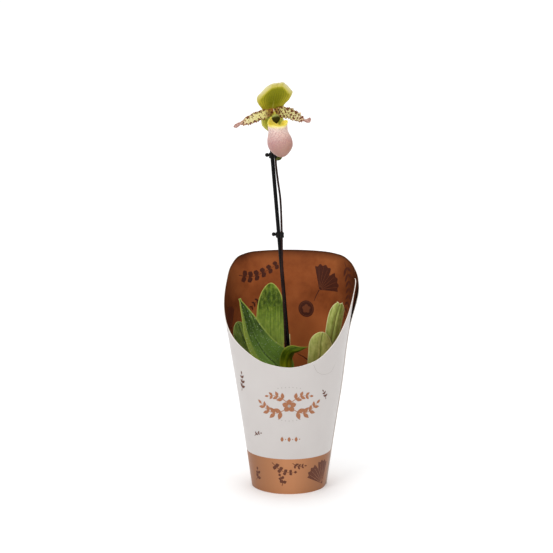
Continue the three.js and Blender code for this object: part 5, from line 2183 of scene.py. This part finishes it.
@dataclass
class Support:
    """The plastic rod and the two clips that hold the stem to it."""

    foot: Vector = field(default_factory=lambda: Vector((11.7, 0, 14)))
    tip: Vector = field(default_factory=lambda: Vector((-19.7, 0, 390)))
    radius: float = 2.2
    height: float = 6.0
    wall: float = 1.1
    gap: float = 0.3
    bevel: float = 0.3
    groove: float = 0.25
    knob: float = 2.3
    pin: float = 0.75

    def along(self) -> Vector:
        """Gives the way that the rod points."""
        return (self.tip - self.foot).normalized()

    def build_rod(self) -> Piece:
        """Makes the rod, with a pointed foot and a bevelled top.

        Returns:
            The new object.
        """
        length = (self.tip - self.foot).length
        r = self.radius
        profile = [
            (0, 0), (r * 0.5, 0), (r, 4), (r, 40), (r, length / 2), (r, length - 0.8),
            (r * 0.6, length), (0, length),
        ]
        bm = turned(profile, 40)
        bmesh.ops.transform(bm, matrix=facing(self.along(), self.foot * MM), verts=bm.verts)
        return finish_piece(bm, "support_rod", "stake_plastic", [STAKE_PLASTIC], ["stake"])

    def build_clip(self, node: str, level: float, stem: Line) -> Piece:
        """Makes one clip about the rod and turns it to its place.

        Args:
            node: the plain solid that it stands for.
            level: the height of its middle.
            stem: the stem's middle.

        Returns:
            The new object.
        """
        along = self.along()
        centre = self.foot + along * ((level - self.foot.z) / along.z)
        shares = (i / (2 * Line.STEPS) for i in range(2 * Line.STEPS + 1))
        share = min(shares, key=lambda t: abs(stem.at(t)[0].z - level))
        turn = Vector((0, 0, 1)).rotation_difference(along)
        local = turn.inverted() @ (stem.at(share)[0] - centre)
        sx, sy = local.x, local.y
        half = self.height / 2
        ring = self.radius + self.gap + self.wall
        bore = self.radius + self.gap
        bevelled, grooved, level_out = ring - self.bevel, ring - self.groove, half - self.bevel
        profile = [(bore, -half), (bevelled, -half), (ring, -level_out), (ring, -0.5), (grooved, -0.3),
                   (grooved, 0.3), (ring, 0.5), (ring, level_out), (bevelled, half), (bore, half)]
        bm = turned(profile, 36)
        stem_ring = Scape.RADIUS + self.gap + 0.9
        stem_bore = Scape.RADIUS + self.gap + 0.15
        profile = [(stem_bore, -half), (stem_ring - 0.2, -half), (stem_ring, 0.2 - half),
                   (stem_ring, half - 0.2), (stem_ring - 0.2, half), (stem_bore, half)]
        loop = turned(profile, 28)
        bmesh.ops.translate(loop, verts=loop.verts, vec=Vector((sx, sy, 0)) * MM)
        join(bm, loop)
        # The lever, which ends in a ball.
        lever = Line([(-ring + 0.6, 0, 0.4), (-4.5, 0, 0.7), (-5.5, 0, 0.95)])
        join(bm, round_limb(lever, through([(0, 1.5), (0.4, 1.4), (1, 1.4)]), 16, 10))
        knob = bmesh.new()
        bmesh.ops.create_uvsphere(
            knob, u_segments=24, v_segments=14, radius=self.knob * MM,
            matrix=Matrix.Translation(Vector((-5.7, 0, 1)) * MM),
        )
        join(bm, knob)
        # The thumb tab beyond the stem, a thin wedge with rounded edges.
        tab = bmesh.new()
        bmesh.ops.create_cube(tab, size=1.0)
        bmesh.ops.transform(
            tab,
            matrix=Matrix.Translation(Vector((sx + stem_ring - 1.2, sy * 0.5, 1.9)) * MM)
            @ Matrix.Rotation(-0.5, 4, "Y")
            @ Matrix.Diagonal((2.4 * MM, 1.3 * MM, 3.2 * MM, 1.0)),
            verts=tab.verts,
        )
        bmesh.ops.bevel(
            tab, geom=tab.edges[:], offset=self.bevel * MM, affect="EDGES", segments=3, profile=0.5,
            material=-1,
        )
        join(bm, tab)
        hinge = bmesh.new()
        bmesh.ops.create_cone(
            hinge, cap_ends=True, segments=20, radius1=self.pin * MM, radius2=self.pin * MM,
            depth=self.height * 0.94 * MM,
            matrix=Matrix.Translation(Vector((sx * 0.62, sy * 0.62 + 1.9, 0)) * MM),
        )
        join(bm, hinge)
        bmesh.ops.transform(
            bm, matrix=Matrix.Translation(centre * MM) @ turn.to_matrix().to_4x4(), verts=bm.verts
        )
        name = node.replace("clip", "stem_clip")
        return finish_piece(bm, name, "clip_plastic", [CLIP_PLASTIC], [node])


# ---- the studio


@dataclass
class Studio:
    """Pale floor, soft lights and the camera."""

    eye: Vector = field(default_factory=lambda: Vector((-14.25, -2159.6, 664.8)))
    aim: Vector = field(default_factory=lambda: Vector((-14.25, 0, 245)))
    lens: float = 125.6

    def lay_floor(self) -> None:
        """Lays the seamless floor."""
        bm = bmesh.new()
        bmesh.ops.create_grid(bm, x_segments=8, y_segments=8, size=30.0)
        mesh = bpy.data.meshes.new("studio_floor")
        bm.to_mesh(mesh)
        bm.free()
        mesh.materials.append(StudioFloor("pale floor").material())
        floor = bpy.data.objects.new("studio_floor", mesh)
        bpy.context.scene.collection.objects.link(floor)
        floor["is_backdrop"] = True

    def add_light(
        self,
        name: str,
        place: Sequence[float],
        size: tuple[float, float],
        power: float,
        aim: Sequence[float] = (0, 0, 0.22),
    ) -> None:
        """Hangs one softbox.

        Args:
            name: the light's name.
            place: its centre, in metres.
            size: its width and length, in metres.
            power: its watts.
            aim: the point that it faces.
        """
        lamp = bpy.data.lights.new(name, "AREA")
        lamp.shape, lamp.energy = "RECTANGLE", power
        lamp.size, lamp.size_y = size
        holder = bpy.data.objects.new(name, lamp)
        way = (Vector(aim) - Vector(place)).to_track_quat("-Z", "Y").to_matrix().to_4x4()
        holder.matrix_world = Matrix.Translation(place) @ way
        bpy.context.scene.collection.objects.link(holder)

    def light(self) -> None:
        """Sets the white surround and the softboxes."""
        scene = bpy.context.scene
        world = bpy.data.worlds.new("white surround")
        world.use_nodes = True
        world.node_tree.nodes["Background"].inputs["Color"].default_value = (1, 1, 1, 1)
        world.node_tree.nodes["Background"].inputs["Strength"].default_value = 0.6
        scene.world = world
        self.add_light("key softbox", (-1.1, -1.5, 1.6), (1.0, 1.0), 14.0)
        self.add_light("fill softbox", (1.6, -1.6, 0.9), (1.4, 1.4), 5.0)
        self.add_light("ceiling over the floor", (0, 7, 4), (6.0, 18.0), 386.0, aim=(0, 7, 0))
        scene.view_settings.view_transform = "Standard"

    def set_camera(self) -> None:
        """Stands the camera in front, a little above the plant."""
        lens = bpy.data.cameras.new("camera")
        lens.lens, lens.sensor_width = self.lens, 36.0
        lens.clip_end = 100.0
        camera = bpy.data.objects.new("camera", lens)
        way = (self.aim - self.eye).to_track_quat("-Z", "Y").to_matrix().to_4x4()
        camera.matrix_world = Matrix.Translation(self.eye * MM) @ way
        bpy.context.scene.collection.objects.link(camera)
        bpy.context.scene.camera = camera


def main() -> None:
    """Builds the studio and every piece."""
    logging.basicConfig(level=logging.INFO, format="%(message)s")
    studio = Studio()
    studio.set_camera()
    studio.lay_floor()
    studio.light()
    sleeve = CartonSleeve()
    sleeve.build_sheet()
    sleeve.build_inside_print()
    sleeve.build_front_print()
    sleeve.build_foot_print()
    filling = PotFilling()
    filling.dress()
    filling.build_chips()
    for leaf in LEAVES:
        leaf.build()
    flower = Flower()
    flower.build_hood()
    flower.build_lower_sepal()
    flower.build_petals()
    flower.build_slipper()
    flower.build_column()
    flower.build_shield()
    flower.build_centre_down()
    scape = Scape()
    scape.build(flower)
    support = Support()
    support.build_rod()
    support.build_clip("clip_lower", 293.4, scape.stem_line())
    support.build_clip("clip_upper", 384.0, scape.stem_line())
    boxes = {"cad": CAD_BOX, "visual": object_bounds()}
    {name: [list(corner) for corner in box] for name, box in boxes.items()}


if __name__ == "__main__":
    main()
